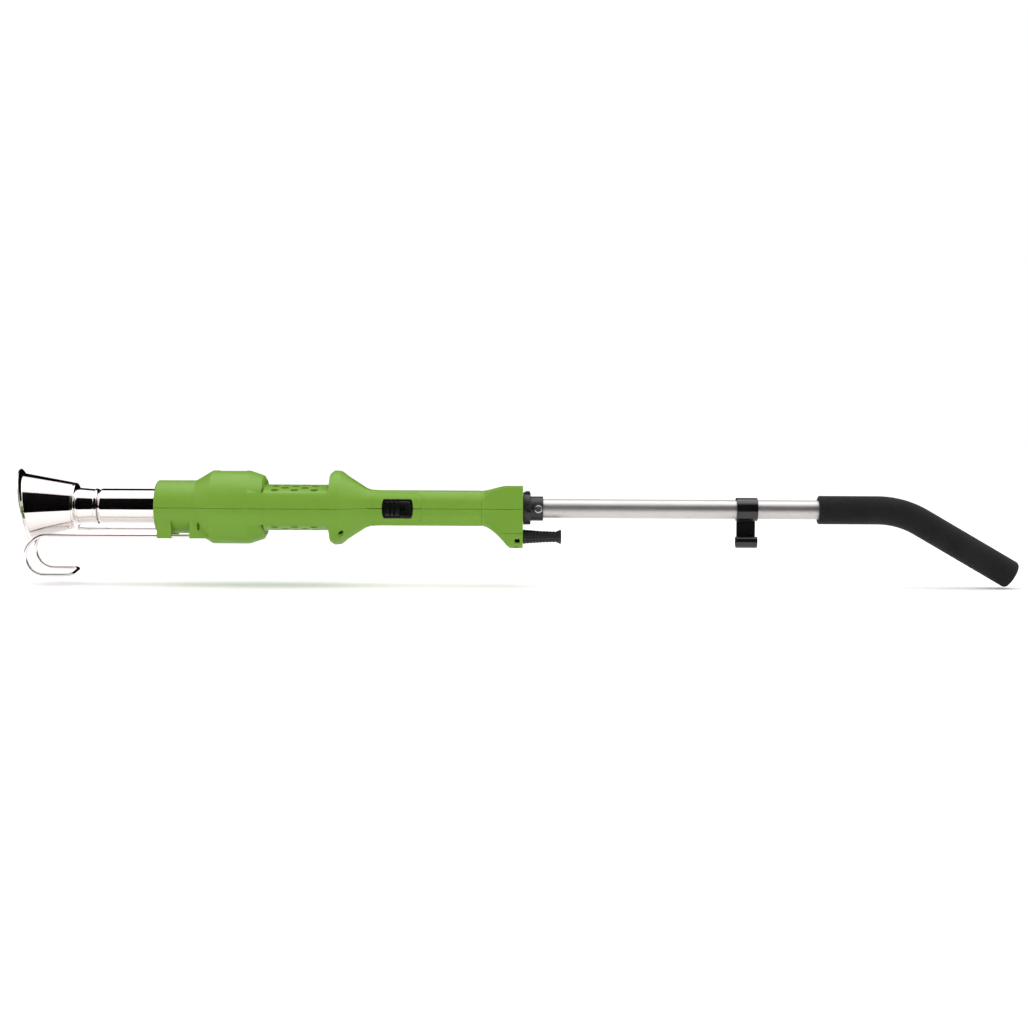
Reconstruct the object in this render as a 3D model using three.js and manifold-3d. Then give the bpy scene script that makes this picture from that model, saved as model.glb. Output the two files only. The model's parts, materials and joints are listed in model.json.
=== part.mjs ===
// Electric hot-air weed burner on a pole, mm, +Z up.
// The tool lies along X: the bell nozzle at low X, the bent foam grip at high X, the switch on the -Y side.
// Everything is placed on the tool's own axis first, and the group is moved at the end so that the origin
// is at the bottom centre of the whole tool.
import * as THREE from 'three';
import { mergeVertices } from 'three/addons/utils/BufferGeometryUtils.js';
import Module from 'manifold-3d';

const wasm = await Module();
wasm.setup();

// ---- driving dimensions ----

// outlet
const TUBE_RADIUS = 18.7;        // outlet tube, outside
const TUBE_WALL = 0.8;
const SPIGOT_RADIUS = 16.4;      // stepped front end that the nozzle slips over
const SPIGOT_LENGTH = 21;
const STEP_LENGTH = 3.6;         // cone between spigot and tube
const TUBE_FRONT = 62.5;         // front end of the spigot
const TUBE_IN_HOUSING = 52;      // how far the tube reaches into the housing

// bell nozzle
const BELL_WALL = 1;
const BELL_MOUTH_RADIUS = 39.4;   // over the rolled lip
const BELL_CONE_RADIUS = 34.2;   // cone just behind the lip
const BELL_SHOULDER_RADIUS = 25.4;
const BELL_LENGTH = 52;          // lip to shoulder
const BELL_LIP_LENGTH = 4.2;
const BELL_SETBACK = 2.8;        // shoulder in front of the spigot
const BELL_MOUTH_LEAN = 0.16;    // the mouth's top edge stands further out than its bottom edge
const BELL_SIDE_LEAN = 0.06;     // and its +Y edge further out than its -Y edge
const SLIP_FIT = 0.35;           // radial clearance of the nozzle on the spigot

// housing
const WALL = 2.4;
const COLLAR_RADIUS = 27.8;
const COLLAR_LENGTH = 41.5;
const HOUSING_FRONT = 144.5;
const BULGE_RADIUS = 38.4;
const BULGE_LENGTH = 38.5;
const CONE_LENGTH = 17.5;
const CHAMFER_LENGTH = 15;
const CHAMFER_STEP = 3;          // steep end of the chamfer, down to the barrel
const BARREL_RADIUS = 37.6;      // sides of the barrel, all but flush with the bulge
const BARREL_HALF_HEIGHT = 23.9;
const BARREL_LENGTH = 65.5;
const ROOF_PITCH = 0.19;         // fall of the barrel's top and bottom towards its sides
const GUARD_RADIUS = 39.2;
const GUARD_LENGTH = 41.5;
const GUARD_PEAK = 9;            // crest of the guard behind the barrel
const VENT_START = 10.9;         // first vent behind the barrel's front
const VENT_LENGTH = 8;
const VENT_WIDTH = 5.6;
const VENT_PITCH = 20.4;
const VENT_ROW = 7;              // from one row to the next across the barrel
const VENT_ROWS = 9;
const GRIP_RADIUS = 21;
const GRIP_HALF_WIDTH = 19.5;
const GRIP_HALF_HEIGHT = 18.3;
const GRIP_LENGTH = 119.5;
const REAR_HALF_WIDTH = 21.6;
const REAR_TOP = 23;
const REAR_BOTTOM = 41.5;
const REAR_LENGTH = 41.5;
const REAR_CURVE = 25;           // length over which the grip grows into the rear lobe
const SEAM = 0.3;                // gap between the two halves
const GAP = 0.3;                 // gap between pieces that touch

// wire stand
const WIRE_RADIUS = 1.8;
const LEG_SPACING = 44;
const LEG_DROP = 27;             // legs below the tool's axis
const HOOK_DROP = 42;            // hook's bottom run below the legs
const HOOK_BEHIND = 1.8;         // hook's front edge behind the bell's lip
const HOOK_REACH = 47.8;         // length of the hook's bottom run
const HOOK_BEND = 20;            // radius of its bends
const HOOK_TIP_BEND = 12;
const STAND_ROLL = 6;            // degrees, the stand sits turned a little in its clips

// fan and motor
const FAN_RADIUS = 31.5;
const FAN_HUB_RADIUS = 8.5;
const FAN_DEPTH = 17;
const BLADE_COUNT = 7;
const BLADE_THICKNESS = 1.4;
const DUCT_WALL = 1.2;
const FAN_TIP_GAP = 1;
const MOTOR_RADIUS = 18;
const MOTOR_LENGTH = 56;
const MOTOR_WALL = 1.2;
const SHAFT_RADIUS = 1.6;
const SHAFT_CLEARANCE = 0.06;

// heater
const SLEEVE_WALL = 0.8;
const HEATER_LENGTH = 84;
const COIL_WIRE_RADIUS = 0.7;
const COIL_TURNS = 7;
const COIL_FACETS = 10;          // straight pieces that stand for one turn

// switch
const SWITCH_LENGTH = 33;
const SWITCH_HEIGHT = 20;
const SWITCH_AT = 13.9;          // plate's front end behind the start of the grip
const SLIDER_LENGTH = 14.7;
const SLIDER_HEIGHT = 15.6;
const SLIDER_TRAVEL = 11;

// pole
const POLE_RADIUS = 10;
const POLE_WALL = 1.4;
const POLE_BEND = 30;            // degrees down
const POLE_BEND_RADIUS = 92;
const POLE_STRAIGHT = 388.6;     // flange face to the point where the two straight lines meet
const POLE_TAIL = 136.8;         // from that point to the end of the grip
const FOAM_WALL = 4.9;
const FOAM_LENGTH = 87;          // foam in front of that point
const FOAM_END = 5;              // solid end
const FLANGE_RIM = 4.1;          // how far the flange stands out from the socket
const FLANGE_LENGTH = 7.7;
const SOCKET_WALL = 2.5;
const SOCKET_LENGTH = 13.2;
const SOCKET_PLUG_WALL = 3.3;
const SOCKET_PLUG_LENGTH = 20;

// cable clip
const CLIP_LENGTH = 22.3;
const CLIP_WALL = 2;
const CLIP_BEFORE_FOAM = 63.7;   // clip's back edge in front of the foam
const CLIP_DROP = 33.6;          // cable hook's centre below the pole's axis
const CLIP_HOOK_RADIUS = 6.8;

// cord sleeve
const CORD_RADIUS = 3.7;         // hole for the cord
const BOOT_DROP = 29.6;
const BOOT_LENGTH = 40;
const BOOT_ROOT_RADIUS = 7.7;
const BOOT_NECK_RADIUS = 5.7;
const BOOT_END_RADIUS = 7.3;

// fasteners
const SCREW_RADIUS = 1.5;
const SCREW_HEAD_RADIUS = 2.9;
const BOSS_RADIUS = 3.5;

// ---- sizes that follow from the pole ----

const FOAM_RADIUS = POLE_RADIUS + FOAM_WALL;
const SOCKET_RADIUS = POLE_RADIUS + GAP + SOCKET_WALL;
const SOCKET_PLUG_RADIUS = POLE_RADIUS + GAP + SOCKET_PLUG_WALL;
const FLANGE_RADIUS = SOCKET_RADIUS + FLANGE_RIM;

// ---- places along the tool that follow from the sizes ----

const TUBE_SHOULDER = TUBE_FRONT + SPIGOT_LENGTH;
const TUBE_BACK = HOUSING_FRONT + TUBE_IN_HOUSING;
const BELL_BACK = TUBE_FRONT - BELL_SETBACK;                     // shoulder of the bell
const BELL_FRONT = BELL_BACK - BELL_LENGTH;           // middle of the lip
const COLLAR_BACK = HOUSING_FRONT + COLLAR_LENGTH;
const BULGE_FRONT = COLLAR_BACK + CONE_LENGTH;
const BULGE_BACK = BULGE_FRONT + BULGE_LENGTH;
const BARREL_FRONT = BULGE_BACK + CHAMFER_LENGTH + CHAMFER_STEP;
const BARREL_BACK = BARREL_FRONT + BARREL_LENGTH;
const GRIP_FRONT = BARREL_BACK + GUARD_LENGTH;
const GRIP_BACK = GRIP_FRONT + GRIP_LENGTH;
const HOUSING_BACK = GRIP_BACK + REAR_LENGTH;
const FAN_FRONT = BULGE_FRONT + 3;
const MOTOR_FRONT = FAN_FRONT + FAN_DEPTH + 12;
const MOTOR_BACK = MOTOR_FRONT + MOTOR_LENGTH;
const FLANGE_FRONT = HOUSING_BACK + GAP;
const FLANGE_BACK = FLANGE_FRONT + FLANGE_LENGTH;
const SOCKET_BACK = FLANGE_BACK + SOCKET_LENGTH;
const SWITCH_FRONT = GRIP_FRONT + SWITCH_AT;
const POLE_CORNER = FLANGE_BACK + POLE_STRAIGHT;
const FOAM_FRONT = POLE_CORNER - FOAM_LENGTH;

// ---- solids ----

const parts = new THREE.Group();

function toSolid(geometry) {
  const bare = geometry.clone();
  bare.deleteAttribute('normal');
  bare.deleteAttribute('uv');
  const merged = mergeVertices(bare, 1e-4);
  const points = merged.attributes.position;
  const kept = [];
  let volume = 0;
  const a = new THREE.Vector3();
  const b = new THREE.Vector3();
  const c = new THREE.Vector3();
  for (let i = 0; i < merged.index.count; i += 3) {
    const [p, q, r] = [0, 1, 2].map((k) => merged.index.getX(i + k));
    if (p === q || q === r || r === p) continue;
    kept.push(p, q, r);
    a.fromBufferAttribute(points, p);
    b.fromBufferAttribute(points, q);
    c.fromBufferAttribute(points, r);
    volume += a.dot(b.cross(c));
  }
  if (volume < 0) kept.reverse();
  const mesh = new wasm.Mesh({
    numProp: 3,
    vertProperties: new Float32Array(points.array),
    triVerts: new Uint32Array(kept),
  });
  return new wasm.Manifold(mesh);
}

function toGeometry(solid) {
  const mesh = solid.getMesh();
  const geometry = new THREE.BufferGeometry();
  geometry.setAttribute('position', new THREE.BufferAttribute(mesh.vertProperties, 3));
  geometry.setIndex(new THREE.BufferAttribute(mesh.triVerts, 1));
  geometry.computeVertexNormals();
  return geometry;
}

// a profile of [x, radius] points turned about the tool's axis
function turned(profile, sides = 24) {
  const points = profile.map(([x, r]) => new THREE.Vector2(r, x));
  const geometry = new THREE.LatheGeometry(points, sides);
  return toSolid(geometry.rotateZ(-Math.PI / 2));
}

// the same for a profile that closes on itself, which leaves a hole along the axis
function turnedRing(profile, sides = 24) {
  return turned([...profile, profile[0]], sides);
}

function rod(radius, x0, x1, sides = 24) {
  return turned([[x0, 0], [x0, radius], [x1, radius], [x1, 0]], sides);
}

function tube(outer, inner, x0, x1, sides = 24) {
  return turnedRing([[x0, inner], [x0, outer], [x1, outer], [x1, inner]], sides);
}

function post(radius, x, y, z0, z1, sides = 12) {
  const geometry = new THREE.CylinderGeometry(radius, radius, z1 - z0, sides);
  return toSolid(geometry.rotateX(Math.PI / 2).translate(x, y, (z0 + z1) / 2));
}

function peg(radius, x, z, y0, y1, sides = 12) {
  const geometry = new THREE.CylinderGeometry(radius, radius, y1 - y0, sides);
  return toSolid(geometry.translate(x, (y0 + y1) / 2, z));
}

function block(x0, x1, y0, y1, z0, z1) {
  const geometry = new THREE.BoxGeometry(x1 - x0, y1 - y0, z1 - z0);
  return toSolid(geometry.translate((x0 + x1) / 2, (y0 + y1) / 2, (z0 + z1) / 2));
}

// an outline in the XZ plane, given thickness along Y
function slab(shape, y0, y1) {
  const depth = y1 - y0;
  const geometry = new THREE.ExtrudeGeometry(shape, { depth, bevelEnabled: false, curveSegments: 6 });
  return toSolid(geometry.rotateX(Math.PI / 2).translate(0, y1, 0));
}

function circle(radius) {
  return new THREE.Shape().absarc(0, 0, radius, 0, Math.PI * 2);
}

function swept(curve, radius, steps, sides) {
  return toSolid(new THREE.ExtrudeGeometry(circle(radius), {
    steps,
    curveSegments: sides / 2,
    extrudePath: curve,
  }));
}

// a route through a list of stops, one extrusion step from each stop to the next
class Route extends THREE.Curve {
  constructor(stops) {
    super();
    this.stops = stops;
  }

  getPointAt(u, target = new THREE.Vector3()) {
    return target.copy(this.stops[Math.round(u * (this.stops.length - 1))]);
  }

  getTangentAt(u, target = new THREE.Vector3()) {
    const last = this.stops.length - 1;
    const i = Math.round(u * last);
    const here = this.stops[i];
    const before = here.clone().sub(this.stops[Math.max(i - 1, 0)]).normalize();
    const after = this.stops[Math.min(i + 1, last)].clone().sub(here).normalize();
    return target.copy(before).add(after).normalize();
  }
}

// straight runs between corners, each corner rounded to its radius
function roundedRoute(corners, stepAngle = 14) {
  const stops = [corners[0].at];
  for (let i = 1; i < corners.length - 1; i++) {
    const { at, radius } = corners[i];
    const back = corners[i - 1].at.clone().sub(at).normalize();
    const ahead = corners[i + 1].at.clone().sub(at).normalize();
    const half = back.angleTo(ahead) / 2;
    const turn = Math.PI - 2 * half;
    const start = at.clone().addScaledVector(back, radius / Math.tan(half));
    const inward = back.clone().add(ahead).normalize();
    const centre = at.clone().addScaledVector(inward, radius / Math.sin(half));
    const axis = new THREE.Vector3().crossVectors(ahead, back).normalize();
    const steps = Math.ceil(THREE.MathUtils.radToDeg(turn) / stepAngle);
    for (let j = 0; j <= steps; j++) {
      const spoke = start.clone().sub(centre).applyAxisAngle(axis, (turn * j) / steps);
      stops.push(centre.clone().add(spoke));
    }
  }
  stops.push(corners[corners.length - 1].at);
  return new Route(stops);
}

function sweptRoute(route, radius, sides) {
  return swept(route, radius, route.stops.length - 1, sides);
}

// a skin through sections [x, radius, wall, top, bottom, pitch]: each section is a circle, cut by flat
// walls at the sides and by a roof at top and bottom that falls away from the middle by its pitch
function loft(stations, sides = 36) {
  const positions = [];
  const indices = [];
  for (const [x, radius, wall, top, bottom, pitch] of stations) {
    for (let i = 0; i < sides; i++) {
      const angle = (i / sides) * Math.PI * 2;
      const across = Math.abs(Math.cos(angle));
      const up = Math.abs(Math.sin(angle));
      const roof = (Math.sin(angle) > 0 ? top : bottom) / (up + pitch * across);
      const reach = Math.min(radius, wall / Math.max(across, 1e-6), roof);
      positions.push(x, reach * Math.cos(angle), reach * Math.sin(angle));
    }
  }
  for (let j = 0; j < stations.length - 1; j++) {
    for (let i = 0; i < sides; i++) {
      const a = j * sides + i;
      const b = j * sides + ((i + 1) % sides);
      indices.push(a, a + sides, b, b, a + sides, b + sides);
    }
  }
  const last = (stations.length - 1) * sides;
  for (let i = 1; i < sides - 1; i++) {
    indices.push(0, i, i + 1);
    indices.push(last, last + i + 1, last + i);
  }
  const geometry = new THREE.BufferGeometry();
  geometry.setAttribute('position', new THREE.Float32BufferAttribute(positions, 3));
  geometry.setIndex(indices);
  return toSolid(geometry);
}

// the same sections moved in by a wall, square to the outline of their tops
function inset(stations, wall) {
  const outline = stations.map(([x, radius, , top]) => new THREE.Vector2(x, Math.min(radius, top)));
  const inward = (from, to) => {
    const along = to.clone().sub(from).normalize();
    return new THREE.Vector2(along.y, -along.x);
  };
  return stations.map(([x, radius, side, top, bottom, pitch], i) => {
    const before = i > 0 ? inward(outline[i - 1], outline[i]) : new THREE.Vector2(1, 0);
    const after = i < outline.length - 1 ? inward(outline[i], outline[i + 1]) : new THREE.Vector2(-1, 0);
    const middle = before.clone().add(after).normalize();
    const move = middle.multiplyScalar(wall / Math.max(middle.dot(before), 0.3));
    return [x + move.x, radius + move.y, side + move.y, top + move.y, bottom + move.y, pitch];
  });
}

function add(name, solid, look) {
  const material = new THREE.MeshStandardMaterial(look);
  const mesh = new THREE.Mesh(toGeometry(solid), material);
  mesh.name = name;
  parts.add(mesh);
}

const looks = {
  green: { color: 0x78a238, roughness: 0.45, metalness: 0 },
  chrome: { color: 0xe6e2df, roughness: 0.06, metalness: 1 },
  black: { color: 0x1a1a1a, roughness: 0.45, metalness: 0 },
  gloss: { color: 0x0e0e0f, roughness: 0.15, metalness: 0 },
  foam: { color: 0x232221, roughness: 0.9, metalness: 0 },
  rubber: { color: 0x1c1b1b, roughness: 0.7, metalness: 0 },
  aluminium: { color: 0xc4c2c0, roughness: 0.3, metalness: 1 },
  steel: { color: 0xb8b8ba, roughness: 0.25, metalness: 1 },
  dark: { color: 0x5d6064, roughness: 0.4, metalness: 0.9 },
  mica: { color: 0xb9a98a, roughness: 0.6, metalness: 0 },
  ceramic: { color: 0xe4dfd3, roughness: 0.7, metalness: 0 },
  copper: { color: 0xb06a3c, roughness: 0.3, metalness: 1 },
  white: { color: 0xe8e6e0, roughness: 0.5, metalness: 0 },
  board: { color: 0x2f5a34, roughness: 0.5, metalness: 0 },
};

// ---- outlet and heater ----

function makeOutletTube() {
  const outer = [
    [TUBE_FRONT, SPIGOT_RADIUS],
    [TUBE_SHOULDER, SPIGOT_RADIUS],
    [TUBE_SHOULDER + STEP_LENGTH, TUBE_RADIUS],
    [TUBE_BACK, TUBE_RADIUS],
  ];
  const inner = outer.map(([x, r]) => [x, r - TUBE_WALL]).reverse();
  add('outlet_tube', turnedRing([...outer, ...inner], 28), looks.chrome);
}

function makeBell() {
  const neckRadius = SPIGOT_RADIUS + SLIP_FIT + BELL_WALL;
  const lipBack = BELL_FRONT + BELL_LIP_LENGTH;
  const neckFront = BELL_BACK + 3.4;
  const neckBack = TUBE_SHOULDER - GAP;
  const outer = [
    [BELL_FRONT, BELL_MOUTH_RADIUS],
    [BELL_FRONT + BELL_LIP_LENGTH * 0.35, BELL_CONE_RADIUS + 2.2],
    [lipBack, BELL_CONE_RADIUS],
    [BELL_BACK, BELL_SHOULDER_RADIUS],
    [BELL_BACK + 2.2, neckRadius + 1.4],
    [neckFront, neckRadius],
    [neckBack, neckRadius],
  ];
  const inner = [
    [neckBack, neckRadius - BELL_WALL],
    [neckFront - 0.6, neckRadius - BELL_WALL],
    [BELL_BACK + 1.2, neckRadius + 0.9],
    [BELL_BACK - 0.6, BELL_SHOULDER_RADIUS - BELL_WALL],
    [lipBack, BELL_CONE_RADIUS - BELL_WALL],
    [BELL_FRONT + BELL_LIP_LENGTH * 0.2, BELL_CONE_RADIUS + 1.2],
    [BELL_FRONT - 0.8, BELL_MOUTH_RADIUS - 0.3],
  ];
  const upright = turnedRing([...outer, ...inner], 32);
  const leaning = upright.warp((v) => {
    const share = Math.min(Math.max((BELL_BACK - v[0]) / BELL_LENGTH, 0), 1);
    v[0] -= share * (BELL_MOUTH_LEAN * v[2] + BELL_SIDE_LEAN * v[1]);
  });
  add('bell_nozzle', leaning, looks.chrome);
}

function makeHeater() {
  const sleeveRadius = TUBE_RADIUS - TUBE_WALL - GAP;
  const boreRadius = sleeveRadius - SLEEVE_WALL;
  const front = TUBE_SHOULDER + STEP_LENGTH + 6;
  const back = front + HEATER_LENGTH;
  add('heat_sleeve', tube(sleeveRadius, boreRadius, front - 3, back + 9), looks.mica);

  const coilRadius = boreRadius - COIL_WIRE_RADIUS - 0.8;
  const finRadius = coilRadius * Math.cos(Math.PI / COIL_FACETS) - COIL_WIRE_RADIUS - GAP * 2;
  let core = rod(3.5, front, back, 12);
  for (let i = 0; i < 3; i++) {
    const fin = new THREE.BoxGeometry(HEATER_LENGTH, finRadius * 2, 1.6);
    core = core.add(toSolid(fin.rotateX((i * Math.PI) / 3).translate(front + HEATER_LENGTH / 2, 0, 0)));
  }
  add('heater_core', core, looks.ceramic);

  class Helix extends THREE.Curve {
    getPoint(t, target = new THREE.Vector3()) {
      const angle = t * COIL_TURNS * Math.PI * 2;
      const x = front + 4 + t * (HEATER_LENGTH - 8);
      return target.set(x, coilRadius * Math.cos(angle), coilRadius * Math.sin(angle));
    }
  }
  add('heater_coil', swept(new Helix(), COIL_WIRE_RADIUS, COIL_TURNS * COIL_FACETS, 5), looks.copper);

  const plateFront = back + GAP;
  let plate = rod(boreRadius - GAP, plateFront, plateFront + 3);
  for (let i = 0; i < 4; i++) {
    const angle = Math.PI / 4 + (i * Math.PI) / 2;
    const hole = rod(4.2, plateFront - 1, plateFront + 4, 12);
    plate = plate.subtract(hole.translate([0, 10 * Math.cos(angle), 10 * Math.sin(angle)]));
  }
  add('terminal_plate', plate, looks.mica);
  const cutoutFront = plateFront + 3 + GAP;
  add('thermal_cutout', block(cutoutFront, cutoutFront + 5, -4, 4, -2, 2), looks.steel);
}

// ---- housing ----

const FAR = 500;                 // further out than any part of the housing

// rounded front edge, collar, cone, bulge, chamfer, barrel, guard, grip and the lobe for pole and cord
function housingStations() {
  const rounding = 2.6;
  const upperEdge = BULGE_RADIUS - 5;
  const stepTop = BULGE_RADIUS - 9.5;
  const round = (x, radius) => [x, radius, radius, radius, radius, 0];
  const barrel = (x) => [x, BARREL_RADIUS, BARREL_RADIUS, BARREL_HALF_HEIGHT, BARREL_HALF_HEIGHT, ROOF_PITCH];
  const grip = (x, more) => [
    x, GRIP_RADIUS + more, GRIP_HALF_WIDTH + more, GRIP_HALF_HEIGHT + more, GRIP_HALF_HEIGHT + more, 0,
  ];
  const guardPeak = BARREL_BACK + GUARD_PEAK;
  const stations = [
    round(HOUSING_FRONT, COLLAR_RADIUS - rounding),
    round(HOUSING_FRONT + rounding, COLLAR_RADIUS),
    round(COLLAR_BACK, COLLAR_RADIUS),
    round(BULGE_FRONT, BULGE_RADIUS),
    round(BULGE_BACK, BULGE_RADIUS),
    [BULGE_BACK + CHAMFER_LENGTH, BULGE_RADIUS - 0.2, BULGE_RADIUS - 0.2, upperEdge, upperEdge, 0],
    [BARREL_FRONT - 0.4, BARREL_RADIUS, BARREL_RADIUS, stepTop, stepTop, 0],
    barrel(BARREL_FRONT),
    barrel(BARREL_BACK),
    [BARREL_BACK + 2, BARREL_RADIUS, BARREL_RADIUS, GUARD_RADIUS - 4, GUARD_RADIUS - 4, 0],
    round(guardPeak - 3.5, GUARD_RADIUS),
    round(guardPeak + 3.5, GUARD_RADIUS - 1.2),
    grip(GRIP_FRONT - 10, 7.8),
    grip(GRIP_FRONT, 0.8),
    grip(GRIP_FRONT + 12, 0),
    grip(GRIP_BACK, 0),
  ];
  for (const t of [0.25, 0.5, 0.75, 1]) {
    const ease = t * t * (3 - 2 * t);
    stations.push([
      GRIP_BACK + t * REAR_CURVE,
      THREE.MathUtils.lerp(GRIP_RADIUS, REAR_BOTTOM, t),
      THREE.MathUtils.lerp(GRIP_HALF_WIDTH, REAR_HALF_WIDTH, ease),
      THREE.MathUtils.lerp(GRIP_HALF_HEIGHT, REAR_TOP, ease),
      THREE.MathUtils.lerp(GRIP_HALF_HEIGHT, REAR_BOTTOM - 3, t ** 1.6),
      0,
    ]);
  }
  const rear = (x) => [x, REAR_BOTTOM + 2, REAR_HALF_WIDTH, REAR_TOP, REAR_BOTTOM, 0];
  stations.push(rear(GRIP_BACK + REAR_CURVE + 3), rear(HOUSING_BACK));
  return stations;
}

const screwPlaces = [
  { x: COLLAR_BACK + 2.6, y: TUBE_RADIUS + DUCT_WALL + GAP + BOSS_RADIUS + 0.9, head: -9 },
  { x: BARREL_BACK + GUARD_PEAK + 4.4, y: GUARD_RADIUS - 12, head: -14 },
  { x: HOUSING_BACK - 7, y: SOCKET_PLUG_RADIUS + BOSS_RADIUS + 0.6, head: -24 },
];

const legPlaces = [-1, 1].map((side) => {
  const roll = THREE.MathUtils.degToRad(STAND_ROLL);
  const reach = (side * LEG_SPACING) / 2;
  return { y: reach * Math.cos(roll), z: -LEG_DROP + reach * Math.sin(roll) };
});

const CLIP_BLOCK_FRONT = HOUSING_FRONT + 3.6;
const CLIP_BLOCK_LENGTH = 14.8;
const CLIP_BLOCK_2_FRONT = COLLAR_BACK - 4.2;
const CLIP_BLOCK_2_LENGTH = 11;
const LEG_END = CLIP_BLOCK_2_FRONT + 7.5;

function vents(skin) {
  const outline = new THREE.Shape();
  for (const [across, along] of [[-1, 0], [-0.5, 1], [0.5, 1], [1, 0], [0.5, -1], [-0.5, -1]]) {
    const x = (across * VENT_LENGTH) / 2;
    const y = (along * VENT_WIDTH) / 2;
    if (across === -1) outline.moveTo(x, y);
    else outline.lineTo(x, y);
  }
  let result = skin;
  const room = BARREL_LENGTH - VENT_START - VENT_LENGTH / 2 - WALL;
  for (let row = 0; row < VENT_ROWS; row++) {
    const shift = row % 2 === 0 ? 0 : VENT_PITCH / 2;
    const count = Math.floor((room - shift) / VENT_PITCH) + 1;
    const y = (row - (VENT_ROWS - 1) / 2) * VENT_ROW;
    for (let i = 0; i < count; i++) {
      const slot = new THREE.ExtrudeGeometry(outline, { depth: FAR / 5, bevelEnabled: false });
      slot.translate(BARREL_FRONT + VENT_START + shift + i * VENT_PITCH, y, -FAR / 10);
      result = result.subtract(toSolid(slot));
    }
  }
  return result;
}

function rib(inWall, x, thickness, bore) {
  const plate = block(x, x + thickness, -FAR, FAR, -FAR, FAR);
  return inWall.intersect(plate).subtract(rod(bore, x - 1, x + thickness + 1, 24));
}

function makeHousing() {
  const stations = housingStations();
  const outside = loft(stations);
  const cavity = loft(inset(stations, WALL));
  const inWall = loft(inset(stations, WALL / 2));
  let skin = outside.subtract(cavity);
  skin = vents(skin);

  // ribs that hold the outlet tube, the fan duct and the pole socket
  skin = skin.add(rib(inWall, HOUSING_FRONT + 18, 2, TUBE_RADIUS + GAP));
  skin = skin.add(rib(inWall, BULGE_BACK - 16, 2, FAN_RADIUS + FAN_TIP_GAP + DUCT_WALL + GAP));
  skin = skin.add(rib(inWall, HOUSING_BACK - 15, 2, SOCKET_PLUG_RADIUS + GAP)
    .intersect(block(GRIP_BACK, HOUSING_BACK, -FAR, FAR, -BOOT_DROP + 12, FAR)));

  // blocks under the collar that clip round the stand's legs
  const legEdge = LEG_SPACING / 2 + WIRE_RADIUS + 1.6;
  const blockBottom = LEG_DROP + 5;
  const tubeRoom = rod(COLLAR_RADIUS - 1, HOUSING_FRONT, BULGE_FRONT, 32);
  const clipBlock = block(CLIP_BLOCK_FRONT, CLIP_BLOCK_FRONT + CLIP_BLOCK_LENGTH,
    -legEdge, legEdge, -blockBottom, -8);
  const clipBlock2 = block(CLIP_BLOCK_2_FRONT, CLIP_BLOCK_2_FRONT + CLIP_BLOCK_2_LENGTH,
    -legEdge, legEdge, -blockBottom, -8);
  skin = skin.add(clipBlock.add(clipBlock2).subtract(tubeRoom));
  for (const leg of legPlaces) {
    const hole = rod(WIRE_RADIUS + GAP, HOUSING_FRONT - 5, LEG_END + GAP, 12);
    skin = skin.subtract(hole.translate([0, leg.y, leg.z]));
  }

  // openings for outlet tube, pole socket, cord sleeve and switch
  skin = skin.subtract(rod(TUBE_RADIUS + GAP, HOUSING_FRONT - 2, HOUSING_FRONT + 10));
  skin = skin.subtract(rod(SOCKET_PLUG_RADIUS + GAP, HOUSING_BACK - 10, HOUSING_BACK + 2));
  const bootHole = rod(BOOT_ROOT_RADIUS - 1.2 + GAP, HOUSING_BACK - 10, HOUSING_BACK + 2, 16);
  skin = skin.subtract(bootHole.translate([0, 0, -BOOT_DROP]));
  skin = skin.subtract(block(SWITCH_FRONT - GAP, SWITCH_FRONT + SWITCH_LENGTH + GAP,
    -GRIP_HALF_WIDTH - 5, -10, -SWITCH_HEIGHT / 2 - GAP, SWITCH_HEIGHT / 2 + GAP));

  // screw bosses
  for (const place of screwPlaces) {
    for (const side of [-1, 1]) {
      const y = side * place.y;
      const boss = post(BOSS_RADIUS, place.x, y, -FAR / 10, FAR / 10, 10).intersect(inWall);
      const shank = post(SCREW_RADIUS + GAP, place.x, y, place.head - 1, 11.4, 10);
      const head = post(SCREW_HEAD_RADIUS + GAP, place.x, y, -FAR / 10, place.head, 12);
      skin = skin.add(boss).subtract(shank).subtract(head);
    }
  }

  const above = block(0, FAR * 2, -FAR, FAR, SEAM / 2, FAR);
  const below = block(0, FAR * 2, -FAR, FAR, -FAR, -SEAM / 2);
  add('upper_housing', skin.intersect(above), looks.green);
  add('lower_housing', skin.intersect(below), looks.green);

  let count = 1;
  for (const place of screwPlaces) {
    for (const side of [-1, 1]) {
      const y = side * place.y;
      const head = post(SCREW_HEAD_RADIUS, place.x, y, place.head - 2.4 - GAP, place.head - GAP);
      const slot = block(place.x - 2, place.x + 2, y - 0.4, y + 0.4, place.head - 5, place.head - GAP - 1.4);
      const screw = head.subtract(slot).add(post(SCREW_RADIUS, place.x, y, place.head - 1, 11, 12));
      add(`housing_screw_${count}`, screw, looks.dark);
      count += 1;
    }
  }
}

// ---- wire stand ----

function makeStand() {
  const reach = LEG_SPACING / 2;
  const hookFront = BELL_FRONT + HOOK_BEHIND;
  const bottom = -HOOK_DROP;
  const leg = (side) => [
    { at: new THREE.Vector3(LEG_END, side * reach, 0) },
    { at: new THREE.Vector3(hookFront + 15, side * reach, 0), radius: HOOK_BEND },
    { at: new THREE.Vector3(hookFront + 0.4, side * reach, -13.5), radius: HOOK_BEND },
    { at: new THREE.Vector3(hookFront, side * reach, bottom), radius: HOOK_BEND - 0.5 },
    { at: new THREE.Vector3(hookFront + HOOK_REACH, side * reach, bottom), radius: HOOK_TIP_BEND },
  ];
  const route = roundedRoute([...leg(-1), ...leg(1).reverse()]);
  const wire = sweptRoute(route, WIRE_RADIUS, 8);
  add('stand_wire', wire.rotate([STAND_ROLL, 0, 0]).translate([0, 0, -LEG_DROP]), looks.chrome);
}

// ---- fan and motor ----

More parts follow.
